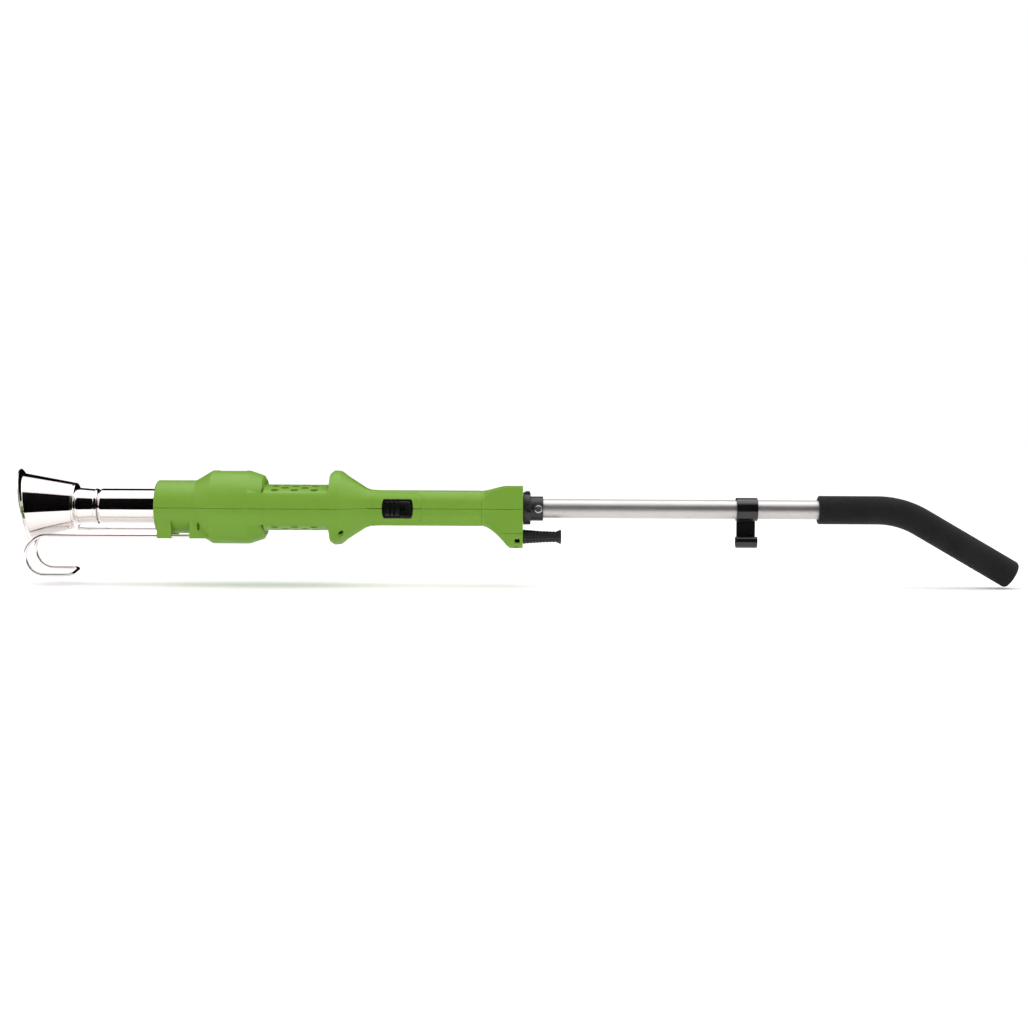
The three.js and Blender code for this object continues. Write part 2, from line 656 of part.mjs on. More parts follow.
function makeFan() {
  const throat = TUBE_RADIUS + GAP;
  const room = FAN_RADIUS + FAN_TIP_GAP;
  const ductFront = TUBE_BACK - 6;
  const ductBack = FAN_FRONT + FAN_DEPTH + 5;
  const inner = [
    [ductFront, throat],
    [TUBE_BACK + 1, throat],
    [FAN_FRONT - 2, room],
    [ductBack, room],
  ];
  const outer = inner.map(([x, r]) => [x, r + DUCT_WALL]).reverse();
  add('fan_duct', turnedRing([...inner, ...outer]), looks.black);

  let fan = rod(FAN_HUB_RADIUS, FAN_FRONT, FAN_FRONT + FAN_DEPTH, 16);
  fan = fan.add(rod(FAN_RADIUS, FAN_FRONT + FAN_DEPTH - 1.6, FAN_FRONT + FAN_DEPTH));
  for (let i = 0; i < BLADE_COUNT; i++) {
    const blade = new THREE.BoxGeometry(FAN_DEPTH - 1, FAN_RADIUS - FAN_HUB_RADIUS + 1, BLADE_THICKNESS);
    blade.translate(FAN_FRONT + (FAN_DEPTH - 1) / 2 + 0.6, (FAN_RADIUS + FAN_HUB_RADIUS) / 2 - 1, 0);
    blade.rotateX(0.22);
    blade.rotateX((i / BLADE_COUNT) * Math.PI * 2);
    fan = fan.add(toSolid(blade));
  }
  const boreBack = FAN_FRONT + FAN_DEPTH;
  fan = fan.subtract(rod(SHAFT_RADIUS + GAP, FAN_FRONT + 2, boreBack + 1, 16));
  add('fan_impeller', fan, looks.black);
}

function makeMotor() {
  const bore = SHAFT_RADIUS + SHAFT_CLEARANCE;
  const inside = MOTOR_RADIUS - MOTOR_WALL;
  const can = turnedRing([
    [MOTOR_FRONT, bore],
    [MOTOR_FRONT, MOTOR_RADIUS],
    [MOTOR_BACK, MOTOR_RADIUS],
    [MOTOR_BACK, inside],
    [MOTOR_FRONT + 2, inside],
    [MOTOR_FRONT + 2, bore],
  ]);
  add('motor_can', can, looks.steel);
  const capFront = MOTOR_BACK + GAP;
  const cap = turnedRing([
    [capFront - 6, inside - GAP - 1.4],
    [capFront - 6, inside - GAP],
    [capFront, inside - GAP],
    [capFront, MOTOR_RADIUS],
    [capFront + 3, MOTOR_RADIUS],
    [capFront + 5, 7],
    [capFront + 5, bore],
    [capFront + 2, bore],
    [capFront + 1, inside - GAP - 1.4],
  ]);
  add('motor_end_cap', cap, looks.white);
  add('motor_shaft', rod(SHAFT_RADIUS, FAN_FRONT + 3, capFront + 8, 24), looks.steel);

  // wound rotor with a slotted stack, and the commutator behind it
  const stackRadius = inside - 4.2;
  const stackFront = MOTOR_FRONT + 9;
  const stackBack = MOTOR_BACK - 16;
  let stack = rod(stackRadius, stackFront, stackBack, 20);
  for (let i = 0; i < 5; i++) {
    const angle = (i / 5) * Math.PI * 2;
    const slot = rod(2.6, stackFront - 1, stackBack + 1, 10);
    const slotDepth = stackRadius - 1.6;
    stack = stack.subtract(slot.translate([0, slotDepth * Math.cos(angle), slotDepth * Math.sin(angle)]));
  }
  stack = stack.subtract(rod(SHAFT_RADIUS + GAP, stackFront - 1, stackBack + 1, 16));
  add('motor_rotor', stack, looks.dark);
  add('commutator', tube(4.2, SHAFT_RADIUS + GAP, stackBack + 2, stackBack + 10, 16), looks.copper);

  // two field magnets against the can's wall
  for (const side of [-1, 1]) {
    const ring = tube(inside - GAP, stackRadius + 0.8, stackFront - 2, stackBack + 2);
    const half = block(stackFront - 3, stackBack + 3, side > 0 ? 4 : -FAR, side > 0 ? FAR : -4, -FAR, FAR);
    add(side > 0 ? 'magnet_far' : 'magnet_near', ring.intersect(half), looks.dark);
  }

  // rubber rings that carry the motor in the barrel
  const ringOutside = (BARREL_HALF_HEIGHT - WALL) / Math.hypot(1, ROOF_PITCH) - GAP;
  const frontRing = BARREL_FRONT + 2;
  const backRing = MOTOR_BACK - 9;
  for (const [name, x] of [['motor_mount_front', frontRing], ['motor_mount_rear', backRing]]) {
    add(name, tube(ringOutside, MOTOR_RADIUS + GAP, x, x + 5), looks.rubber);
  }
}

// ---- switch and board ----

function switchOutline(x0, x1, halfHeight, bulge) {
  const shape = new THREE.Shape();
  shape.moveTo(x0 + bulge, -halfHeight);
  shape.lineTo(x1 - bulge, -halfHeight);
  shape.quadraticCurveTo(x1 + bulge * 0.6, 0, x1 - bulge, halfHeight);
  shape.lineTo(x0 + bulge, halfHeight);
  shape.quadraticCurveTo(x0 - bulge * 0.6, 0, x0 + bulge, -halfHeight);
  return shape;
}

function makeSwitch() {
  const face = -GRIP_HALF_WIDTH - 0.4;
  const back = face + 3.6;
  const x0 = SWITCH_FRONT;
  const x1 = SWITCH_FRONT + SWITCH_LENGTH;
  const middle = (x0 + x1) / 2;
  const sliderFront = middle - (SLIDER_LENGTH + SLIDER_TRAVEL) / 2;
  const pocketDepth = 1.8;
  const plate = slab(switchOutline(x0, x1, SWITCH_HEIGHT / 2, 1.8), face, back);
  const pocket = block(sliderFront - GAP, sliderFront + SLIDER_LENGTH + SLIDER_TRAVEL + GAP,
    face - 1, face + pocketDepth, -SLIDER_HEIGHT / 2 - GAP, SLIDER_HEIGHT / 2 + GAP);
  const stemHalf = 2.2;
  const stemFront = sliderFront + SLIDER_LENGTH / 2 - stemHalf;
  const slot = block(stemFront - GAP, stemFront + stemHalf * 2 + SLIDER_TRAVEL + GAP,
    face, back + 1, -stemHalf - GAP, stemHalf + GAP);
  add('switch_bezel', plate.subtract(pocket).subtract(slot), looks.gloss);

  const top = face - 1;
  const sliderBack = face + pocketDepth - GAP;
  let slider = block(sliderFront, sliderFront + SLIDER_LENGTH, top + 0.8, sliderBack,
    -SLIDER_HEIGHT / 2, SLIDER_HEIGHT / 2);
  for (let i = 0; i < 3; i++) {
    const x = sliderFront + 2 + i * 4.4;
    slider = slider.add(block(x, x + 1.7, top, top + 1, -SLIDER_HEIGHT / 2 + 0.8, SLIDER_HEIGHT / 2 - 0.8));
  }
  const stem = block(stemFront, stemFront + stemHalf * 2, sliderBack - 0.4, back + 3, -stemHalf, stemHalf);
  add('switch_slider', slider.add(stem), looks.gloss);

  const bodyBack = back + 16;
  const bodyFront = back + GAP;
  const body = block(x0 + 1, x1 - 1, bodyFront, bodyBack, -7, 7);
  const guide = block(stemFront - 1, stemFront + stemHalf * 2 + SLIDER_TRAVEL + 1,
    bodyFront - 1, bodyFront + 4.5, -stemHalf - GAP, stemHalf + GAP);
  add('switch_body', body.subtract(guide), looks.black);
}

function makeBoard() {
  const x0 = SWITCH_FRONT + SWITCH_LENGTH + 6;
  const x1 = GRIP_BACK - 4;
  const top = -5;
  add('circuit_board', block(x0, x1, -12, 12, top - 1.6, top), looks.board);
  add('rectifier', block(x0 + 6, x0 + 21, -8, 2, top + GAP, top + 6), looks.black);
  add('capacitor', post(5.5, x1 - 9, 2, top + GAP, top + 15, 20), looks.copper);
}

// ---- pole, grip and clip ----

// the pole's centre line from a given place to a distance before the grip's end
function poleLine(x0, shortBy) {
  const bend = THREE.MathUtils.degToRad(POLE_BEND);
  const tail = POLE_TAIL - shortBy;
  return roundedRoute([
    { at: new THREE.Vector3(x0, 0, 0) },
    { at: new THREE.Vector3(POLE_CORNER, 0, 0), radius: POLE_BEND_RADIUS },
    { at: new THREE.Vector3(POLE_CORNER + tail * Math.cos(bend), 0, -tail * Math.sin(bend)) },
  ]);
}

function makePole() {
  const poleFront = FLANGE_FRONT - SOCKET_PLUG_LENGTH + 3;
  const plugLength = 12;
  const poleShort = FOAM_END + GAP;
  const screwHole = peg(2.3, FLANGE_BACK + 8, 0, -FAR, 0, 12);
  const hollow = sweptRoute(poleLine(poleFront - 5, poleShort - 5), POLE_RADIUS - POLE_WALL, 20);
  const outside = sweptRoute(poleLine(poleFront, poleShort), POLE_RADIUS, 20);
  add('pole_tube', outside.subtract(hollow).subtract(screwHole), looks.aluminium);

  const core = sweptRoute(poleLine(FOAM_FRONT - 5, FOAM_END), POLE_RADIUS + GAP, 20);
  add('foam_grip', sweptRoute(poleLine(FOAM_FRONT, 0), FOAM_RADIUS, 20).subtract(core), looks.foam);

  const plugBack = POLE_TAIL - poleShort;
  const plug = rod(POLE_RADIUS - POLE_WALL - GAP, plugBack - plugLength, plugBack, 24);
  add('pole_plug', plug.rotate([0, POLE_BEND, 0]).translate([POLE_CORNER, 0, 0]), looks.black);
}

function makeSocket() {
  const plugFront = FLANGE_FRONT - SOCKET_PLUG_LENGTH;
  const bore = POLE_RADIUS + GAP;
  let socket = turnedRing([
    [plugFront, bore - 3],
    [plugFront, SOCKET_PLUG_RADIUS],
    [FLANGE_FRONT, SOCKET_PLUG_RADIUS],
    [FLANGE_FRONT, FLANGE_RADIUS],
    [FLANGE_BACK, FLANGE_RADIUS],
    [FLANGE_BACK, SOCKET_RADIUS],
    [SOCKET_BACK, SOCKET_RADIUS],
    [SOCKET_BACK, bore],
    [plugFront + 2.6, bore],
    [plugFront + 2.6, bore - 3],
  ], 28);
  const screwX = FLANGE_BACK + 8;
  const bossFace = -SOCKET_RADIUS - 1.4;
  const latch = block(FLANGE_FRONT + 2.6, FLANGE_BACK - 1, -4, 4, FLANGE_RADIUS - 2, FLANGE_RADIUS + 1.4);
  const boss = peg(5.2, screwX, 0, bossFace, -POLE_RADIUS - 1, 20);
  socket = socket.add(latch).add(boss).subtract(rod(bore, plugFront + 2.6, SOCKET_BACK + 4, 28));
  socket = socket.subtract(peg(SCREW_RADIUS + 0.4 + GAP, screwX, 0, -FAR, 0, 12));
  add('pole_socket', socket, looks.black);

  const head = peg(4.1, screwX, 0, bossFace - 2.2, bossFace - GAP, 20);
  const recess = peg(1.6, screwX, 0, bossFace - 4, bossFace - 1.2, 6);
  const shank = peg(SCREW_RADIUS + 0.4, screwX, 0, bossFace - 1, -POLE_RADIUS + POLE_WALL + 1, 12);
  add('socket_screw', head.add(shank).subtract(recess), looks.steel);
}

function makeClip() {
  const x1 = FOAM_FRONT - CLIP_BEFORE_FOAM;
  const x0 = x1 - CLIP_LENGTH;
  const ringRadius = POLE_RADIUS + GAP + CLIP_WALL;
  const hookInside = CLIP_HOOK_RADIUS - CLIP_WALL;
  const hook = tube(CLIP_HOOK_RADIUS, hookInside, x0, x1).translate([0, 0, -CLIP_DROP]);
  const mouth = block(x0 - 1, x1 + 1, -CLIP_HOOK_RADIUS + 1.6, hookInside, -CLIP_DROP + 1, -CLIP_DROP + 12);
  const nearTrim = block(x0 - 1, x1 + 1, -FAR, -CLIP_HOOK_RADIUS + 3, -CLIP_DROP + 5, -CLIP_DROP + 12);
  const web = block(x0 + 1.4, x1 - 1.4, hookInside, CLIP_HOOK_RADIUS, -CLIP_DROP, -7);
  let clip = rod(ringRadius, x0, x1).add(web);
  clip = clip.add(hook.subtract(mouth).subtract(nearTrim));
  clip = clip.subtract(rod(POLE_RADIUS + GAP, x0 - 1, x1 + 1));
  add('cable_clip', clip, looks.gloss);
}

// ---- cord exit ----

function makeCordSleeve() {
  const root = HOUSING_BACK + GAP;
  const end = root + BOOT_LENGTH;
  const neck = BOOT_ROOT_RADIUS - 1.2;
  const inside = HOUSING_BACK - WALL - GAP;
  const sleeve = turnedRing([
    [inside - 5, CORD_RADIUS],
    [inside - 5, BOOT_ROOT_RADIUS],
    [inside, BOOT_ROOT_RADIUS],
    [inside, neck],
    [root, neck],
    [root, BOOT_ROOT_RADIUS],
    [root + BOOT_LENGTH * 0.5, BOOT_NECK_RADIUS + 0.3],
    [end - 5, BOOT_NECK_RADIUS],
    [end - 2, BOOT_END_RADIUS],
    [end, BOOT_END_RADIUS],
    [end, CORD_RADIUS],
  ], 20);
  add('cord_sleeve', sleeve.translate([0, 0, -BOOT_DROP]), looks.rubber);

  const clampFront = inside - 14;
  const clampTop = -BOOT_DROP + CORD_RADIUS + 5;
  const bar = block(clampFront, clampFront + 6, -11, 11, -BOOT_DROP + CORD_RADIUS, clampTop);
  let clamp = bar;
  for (const side of [-1, 1]) {
    clamp = clamp.subtract(post(SCREW_RADIUS + GAP, clampFront + 3, side * 8, -FAR, FAR, 12));
  }
  add('cord_clamp', clamp, looks.black);
  for (const [name, side] of [['clamp_screw_1', -1], ['clamp_screw_2', 1]]) {
    const head = post(2.6, clampFront + 3, side * 8, clampTop + GAP, clampTop + 2.2, 14);
    const shank = post(SCREW_RADIUS, clampFront + 3, side * 8, -BOOT_DROP - 5, clampTop + 1, 12);
    add(name, head.add(shank), looks.dark);
  }
}

makeBell();
makeOutletTube();
makeHeater();
makeHousing();
makeStand();
makeFan();
makeMotor();
makeSwitch();
makeBoard();
makeSocket();
makePole();
makeClip();
makeCordSleeve();

// origin at the bottom centre of the whole tool
const box = new THREE.Box3().setFromObject(parts);
const middle = box.getCenter(new THREE.Vector3());
parts.position.set(-middle.x, -middle.y, -box.min.z);

export default parts;
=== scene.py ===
import json
import math
import bmesh
import bpy
from mathutils import Matrix, Vector, noise


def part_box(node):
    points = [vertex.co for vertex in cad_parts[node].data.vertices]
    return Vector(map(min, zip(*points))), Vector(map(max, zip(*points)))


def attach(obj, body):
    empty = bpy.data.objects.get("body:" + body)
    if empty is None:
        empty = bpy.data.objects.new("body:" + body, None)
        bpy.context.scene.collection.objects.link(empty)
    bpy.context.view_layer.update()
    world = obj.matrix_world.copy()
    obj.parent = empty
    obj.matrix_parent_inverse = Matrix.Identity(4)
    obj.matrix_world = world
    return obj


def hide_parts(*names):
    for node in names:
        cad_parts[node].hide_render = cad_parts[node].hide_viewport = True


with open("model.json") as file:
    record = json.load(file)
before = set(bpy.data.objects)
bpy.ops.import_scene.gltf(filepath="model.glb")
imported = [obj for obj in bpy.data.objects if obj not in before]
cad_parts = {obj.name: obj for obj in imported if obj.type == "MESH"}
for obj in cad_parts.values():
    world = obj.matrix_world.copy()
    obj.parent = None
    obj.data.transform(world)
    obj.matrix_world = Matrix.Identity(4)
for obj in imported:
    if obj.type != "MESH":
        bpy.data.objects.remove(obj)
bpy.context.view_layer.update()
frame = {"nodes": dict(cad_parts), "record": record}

mm = 0.001
tubeLow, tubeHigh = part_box("outlet_tube")
axisZ = (tubeLow.z + tubeHigh.z) / 2    # height of the tool's own axis
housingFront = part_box("upper_housing")[0].x
print("frame loaded, axis at", round(axisZ / mm, 1), "mm")


def placed(name, data):
    piece = bpy.data.objects.new(name, data)
    bpy.context.collection.objects.link(piece)
    return piece


def newPiece(name, verts, faces):
    mesh = bpy.data.meshes.new(name)
    mesh.from_pydata([tuple(v) for v in verts], [], faces)
    bm = bmesh.new()
    bm.from_mesh(mesh)
    bmesh.ops.remove_doubles(bm, verts=bm.verts, dist=1e-7)
    bmesh.ops.dissolve_degenerate(bm, edges=bm.edges, dist=1e-8)
    bmesh.ops.recalc_face_normals(bm, faces=bm.faces)
    bm.to_mesh(mesh)
    bm.free()
    return placed(name, mesh)


def skin(name, rings, loop=False):
    # closed rings of equal count joined one to the next; without loop the two ends are capped
    count = len(rings[0])
    verts = [point for ring in rings for point in ring]
    faces = []
    for j in range(len(rings) if loop else len(rings) - 1):
        near, far = j * count, ((j + 1) % len(rings)) * count
        for i in range(count):
            k = (i + 1) % count
            faces.append((near + i, near + k, far + k, far + i))
    if not loop:
        faces.append(tuple(range(count)))
        faces.append(tuple(range((len(rings) - 1) * count, len(rings) * count)))
    return newPiece(name, verts, faces)


def rounded(points, closed=True, steps=5):
    # corners (x, y, radius) turned into arcs
    result = []
    for i, (x, y, radius) in enumerate(points):
        here = Vector((x, y))
        if radius <= 0 or (not closed and i in (0, len(points) - 1)):
            result.append((x, y))
            continue
        back = Vector(points[i - 1][:2]) - here
        ahead = Vector(points[(i + 1) % len(points)][:2]) - here
        half = back.angle(ahead) / 2
        if half > math.radians(88):
            result.append((x, y))
            continue
        reach = min(radius / math.tan(half), back.length * 0.49, ahead.length * 0.49)
        size = reach * math.tan(half)
        middle = here + (back.normalized() + ahead.normalized()).normalized() * (size / math.sin(half))
        start = here + back.normalized() * reach - middle
        end = here + ahead.normalized() * reach - middle
        first = math.atan2(start.y, start.x)
        turn = (math.atan2(end.y, end.x) - first + math.pi) % (2 * math.pi) - math.pi
        for k in range(steps + 1):
            angle = first + turn * k / steps
            result.append((middle.x + size * math.cos(angle), middle.y + size * math.sin(angle)))
    return result


def lathe(name, profile, sides=96):
    # closed profile of (along X, radius) in mm turned about the X axis
    rings = []
    for k in range(sides):
        angle = 2 * math.pi * k / sides
        ring = []
        for x, radius in profile:
            ring.append(Vector((x, radius * math.cos(angle), radius * math.sin(angle))) * mm)
        rings.append(ring)
    return skin(name, rings, loop=True)


def route(corners, stepAngle=5):
    # corners (Vector in mm, radius) joined by straight runs and arcs
    stops = [corners[0][0].copy()]
    for i in range(1, len(corners) - 1):
        at, radius = corners[i]
        back = (corners[i - 1][0] - at).normalized()
        ahead = (corners[i + 1][0] - at).normalized()
        half = back.angle(ahead) / 2
        turn = math.pi - 2 * half
        middle = at + (back + ahead).normalized() * (radius / math.sin(half))
        start = at + back * (radius / math.tan(half)) - middle
        axis = start.cross(at + ahead * (radius / math.tan(half)) - middle).normalized()
        steps = max(2, math.ceil(math.degrees(turn) / stepAngle))
        for k in range(steps + 1):
            stops.append(middle + Matrix.Rotation(turn * k / steps, 3, axis) @ start)
    stops.append(corners[-1][0].copy())
    return stops


def stopsLength(stops):
    return sum((b - a).length for a, b in zip(stops, stops[1:]))


def sweep(name, stops, profile, sides=48, longest=12):
    # profile of (distance along the route, radius), closed on itself, in mm
    lengths = [0.0]
    for a, b in zip(stops, stops[1:]):
        lengths.append(lengths[-1] + (b - a).length)
    tangents = []
    for i in range(len(stops)):
        ahead = (stops[min(i + 1, len(stops) - 1)] - stops[i]).normalized()
        back = (stops[i] - stops[max(i - 1, 0)]).normalized()
        tangents.append((ahead + back).normalized())
    side = tangents[0].orthogonal().normalized()
    sidesAlong = [side]
    for before, after in zip(tangents, tangents[1:]):
        side = before.rotation_difference(after) @ side
        sidesAlong.append(side.normalized())

    def ringAt(distance, radius):
        i = 0
        while i < len(lengths) - 2 and lengths[i + 1] < distance:
            i += 1
        share = (distance - lengths[i]) / (lengths[i + 1] - lengths[i])
        middle = stops[i].lerp(stops[i + 1], share)
        held = min(max(share, 0), 1)
        tangent = tangents[i].lerp(tangents[i + 1], held).normalized()
        u = sidesAlong[i].lerp(sidesAlong[i + 1], held)
        u = (u - tangent * u.dot(tangent)).normalized()
        v = tangent.cross(u)
        ring = []
        for k in range(sides):
            angle = 2 * math.pi * k / sides
            ring.append((middle + (u * math.cos(angle) + v * math.sin(angle)) * radius) * mm)
        return ring

    rings = []
    for (s0, r0), (s1, r1) in zip(profile, profile[1:] + profile[:1]):
        between = [length for length in lengths if min(s0, s1) + 0.05 < length < max(s0, s1) - 0.05]
        marks = [s0] + sorted(between, reverse=s1 < s0) + [s1]
        for a, b in zip(marks, marks[1:]):
            pieces = max(1, math.ceil(abs(b - a) / longest))
            for k in range(pieces):
                s = a + (b - a) * k / pieces
                share = 0 if s1 == s0 else (s - s0) / (s1 - s0)
                rings.append(ringAt(s, r0 + (r1 - r0) * share))
    return skin(name, rings, loop=True)


def slab(name, outline, y0, y1, edge=0.0):
    # outline of (x, z) in mm given thickness along Y, its edge at y0 eased by a quarter round
    loops = []
    steps = 4 if edge else 0
    middle = Vector((sum(p[0] for p in outline), sum(p[1] for p in outline))) / len(outline)
    for k in range(steps + 1):
        angle = math.pi / 2 * k / steps if steps else math.pi / 2
        inset = edge * (1 - math.sin(angle))
        y = y0 + math.copysign(edge * (1 - math.cos(angle)), y1 - y0)
        loops.append((inset, y))
    loops.append((0, y1))
    rings = []
    for inset, y in loops:
        ring = []
        for x, z in outline:
            away = Vector((x, z)) - middle
            near = away * (1 - inset / max(away.length, 1e-6))
            ring.append(Vector((middle.x + near.x, y, middle.y + near.y)) * mm)
        rings.append(ring)
    return skin(name, rings)


def easedBox(name, low, high, edge=0.6, segments=3):
    # a block in mm with all edges rounded
    bm = bmesh.new()
    bmesh.ops.create_cube(bm, size=1)
    size = Vector(high) - Vector(low)
    middle = (Vector(high) + Vector(low)) / 2
    bmesh.ops.scale(bm, vec=size * mm, verts=bm.verts)
    bmesh.ops.translate(bm, vec=middle * mm, verts=bm.verts)
    if edge:
        bmesh.ops.bevel(bm, geom=bm.edges, offset=edge * mm, segments=segments, profile=0.5, affect="EDGES")
    mesh = bpy.data.meshes.new(name)
    bm.to_mesh(mesh)
    bm.free()
    return placed(name, mesh)


def applied(piece):
    graph = bpy.context.evaluated_depsgraph_get()
    mesh = bpy.data.meshes.new_from_object(piece.evaluated_get(graph))
    piece.modifiers.clear()
    old = piece.data
    piece.data = mesh
    mesh.name = piece.name
    bpy.data.meshes.remove(old)
    return piece


def combine(piece, others, operation="DIFFERENCE", solver="MANIFOLD"):
    for other in others:
        step = piece.modifiers.new("combine", "BOOLEAN")
        step.operation = operation
        step.solver = solver
        step.object = other
        applied(piece)
    for other in others:
        bpy.data.objects.remove(other)
    return piece


def merged(pieces):
    # several closed meshes as one object, for cutters and groups
    bm = bmesh.new()
    for piece in pieces:
        bm.from_mesh(piece.data)
    mesh = bpy.data.meshes.new(pieces[0].name)
    bm.to_mesh(mesh)
    bm.free()
    joined = placed(pieces[0].name, mesh)
    for piece in pieces:
        bpy.data.objects.remove(piece)
    return joined


def turned(piece, degrees, axis, at=(0, 0, 0)):
    # turned about the origin, then moved to a place in mm
    piece.data.transform(Matrix.Rotation(math.radians(degrees), 4, axis))
    piece.data.transform(Matrix.Translation(Vector(at) * mm))
    return piece


def tint(red, green, blue):
    # a colour from its display values, 0 to 255
    def linear(value):
        share = value / 255
        return share / 12.92 if share <= 0.04045 else ((share + 0.055) / 1.055) ** 2.4
    return (linear(red), linear(green), linear(blue), 1.0)


def newGroup(name, inputs, outputs):
    tree = bpy.data.node_groups.new(name, "ShaderNodeTree")
    for label, kind, value in inputs:
        socket = tree.interface.new_socket(label, in_out="INPUT", socket_type=kind)
        socket.default_value = value
    for label, kind in outputs:
        tree.interface.new_socket(label, in_out="OUTPUT", socket_type=kind)
    return tree, tree.nodes.new("NodeGroupInput"), tree.nodes.new("NodeGroupOutput")


def addNode(tree, kind, **settings):
    node = tree.nodes.new(kind)
    for key, value in settings.items():
        setattr(node, key, value)
    return node


def feed(tree, value, socket):
    # a number or a colour is set, anything else is linked
    if isinstance(value, (int, float, tuple)):
        socket.default_value = value
    else:
        tree.links.new(value, socket)


def noiseNode(tree, vector, scale, detail=4.0, roughness=0.55):
    node = addNode(tree, "ShaderNodeTexNoise")
    for label, value in (("Detail", detail), ("Roughness", roughness), ("Vector", vector), ("Scale", scale)):
        feed(tree, value, node.inputs[label])
    return node.outputs["Fac"]


def rangeNode(tree, value, low, high, outLow=0.0, outHigh=1.0):
    node = addNode(tree, "ShaderNodeMapRange", interpolation_type="SMOOTHSTEP")
    labels = ("Value", "From Min", "From Max", "To Min", "To Max")
    for label, number in zip(labels, (value, low, high, outLow, outHigh)):
        feed(tree, number, node.inputs[label])
    return node.outputs["Result"]


def mathNode(tree, operation, first, second):
    node = addNode(tree, "ShaderNodeMath", operation=operation)
    feed(tree, first, node.inputs[0])
    feed(tree, second, node.inputs[1])
    return node.outputs[0]


def mixColour(tree, share, first, second):
    node = addNode(tree, "ShaderNodeMix", data_type="RGBA")
    for key, value in ((0, share), (6, first), (7, second)):    # the colour sockets are numbers 6 and 7
        feed(tree, value, node.inputs[key])
    return node.outputs[2]


def makeMottle():
    # slow and fine drift of a colour between a lighter and a darker one
    white = (1, 1, 1, 1)
    tree, enter, leave = newGroup("colourDrift", [
        ("Base", "NodeSocketColor", white), ("Light", "NodeSocketColor", white),
        ("Dark", "NodeSocketColor", white), ("Vector", "NodeSocketVector", (0, 0, 0)),
        ("Scale", "NodeSocketFloat", 20.0), ("Amount", "NodeSocketFloat", 0.3),
    ], [("Color", "NodeSocketColor"), ("Mask", "NodeSocketFloat")])
    slow = noiseNode(tree, enter.outputs["Vector"], enter.outputs["Scale"], 3)
    quickScale = mathNode(tree, "MULTIPLY", enter.outputs["Scale"], 9)
    quick = noiseNode(tree, enter.outputs["Vector"], quickScale, 5)
    lightShare = mathNode(tree, "MULTIPLY", rangeNode(tree, slow, 0.45, 0.75), enter.outputs["Amount"])
    darkShare = mathNode(tree, "MULTIPLY", rangeNode(tree, quick, 0.5, 0.8), enter.outputs["Amount"])
    lighter = mixColour(tree, lightShare, enter.outputs["Base"], enter.outputs["Light"])
    tree.links.new(mixColour(tree, darkShare, lighter, enter.outputs["Dark"]), leave.inputs["Color"])
    tree.links.new(slow, leave.inputs["Mask"])
    return tree


def makeGrain():
    # moulded or cast texture: fine bumps with a few coarser ones
    tree, enter, leave = newGroup("surfaceGrain", [
        ("Vector", "NodeSocketVector", (0, 0, 0)), ("Scale", "NodeSocketFloat", 900.0),
        ("Cells", "NodeSocketFloat", 0.3),
    ], [("Height", "NodeSocketFloat")])
    fine = noiseNode(tree, enter.outputs["Vector"], enter.outputs["Scale"], 3)
    cells = addNode(tree, "ShaderNodeTexVoronoi", feature="SMOOTH_F1")
    tree.links.new(enter.outputs["Vector"], cells.inputs["Vector"])
    tree.links.new(enter.outputs["Scale"], cells.inputs["Scale"])
    share = mathNode(tree, "MULTIPLY", cells.outputs["Distance"], enter.outputs["Cells"])
    tree.links.new(mathNode(tree, "ADD", fine, share), leave.inputs["Height"])
    return tree


def makeEdgeWearAndHighlight():
    # corners painted lighter, broken up by noise: rubbed wear, and on the green and black plastics a painted
    # edge highlight
    tree, enter, leave = newGroup("edgeWearAndHighlight", [
        ("Vector", "NodeSocketVector", (0, 0, 0)), ("Radius", "NodeSocketFloat", 0.0006),
        ("Breakup", "NodeSocketFloat", 180.0),
    ], [("Mask", "NodeSocketFloat")])
    soft = addNode(tree, "ShaderNodeBevel", samples=4)
    tree.links.new(enter.outputs["Radius"], soft.inputs["Radius"])
    geometry = addNode(tree, "ShaderNodeNewGeometry")
    dot = addNode(tree, "ShaderNodeVectorMath", operation="DOT_PRODUCT")
    tree.links.new(soft.outputs["Normal"], dot.inputs[0])
    tree.links.new(geometry.outputs["Normal"], dot.inputs[1])
    edge = rangeNode(tree, dot.outputs["Value"], 0.995, 0.85)
    spots = noiseNode(tree, enter.outputs["Vector"], enter.outputs["Breakup"], 4)
    patches = rangeNode(tree, spots, 0.35, 0.65)
    tree.links.new(mathNode(tree, "MULTIPLY", edge, patches), leave.inputs["Mask"])
    return tree


def makeSmudge():
    # roughness that drifts between two values, as handled and wiped surfaces do
    tree, enter, leave = newGroup("handling", [
        ("Vector", "NodeSocketVector", (0, 0, 0)), ("Scale", "NodeSocketFloat", 30.0),
        ("Low", "NodeSocketFloat", 0.3), ("High", "NodeSocketFloat", 0.5),
    ], [("Roughness", "NodeSocketFloat")])
    blotches = noiseNode(tree, enter.outputs["Vector"], enter.outputs["Scale"], 5, 0.6)
    result = rangeNode(tree, blotches, 0.3, 0.7, enter.outputs["Low"], enter.outputs["High"])
    tree.links.new(result, leave.inputs["Roughness"])
    return tree


groups = {"drift": makeMottle(), "grain": makeGrain(), "wearAndHighlight": makeEdgeWearAndHighlight(), "handling": makeSmudge()}


def placeGroup(tree, key, vector, **values):
    node = addNode(tree, "ShaderNodeGroup", node_tree=groups[key])
    tree.links.new(vector, node.inputs["Vector"])
    for label, value in values.items():
        node.inputs[label].default_value = value
    return node.outputs


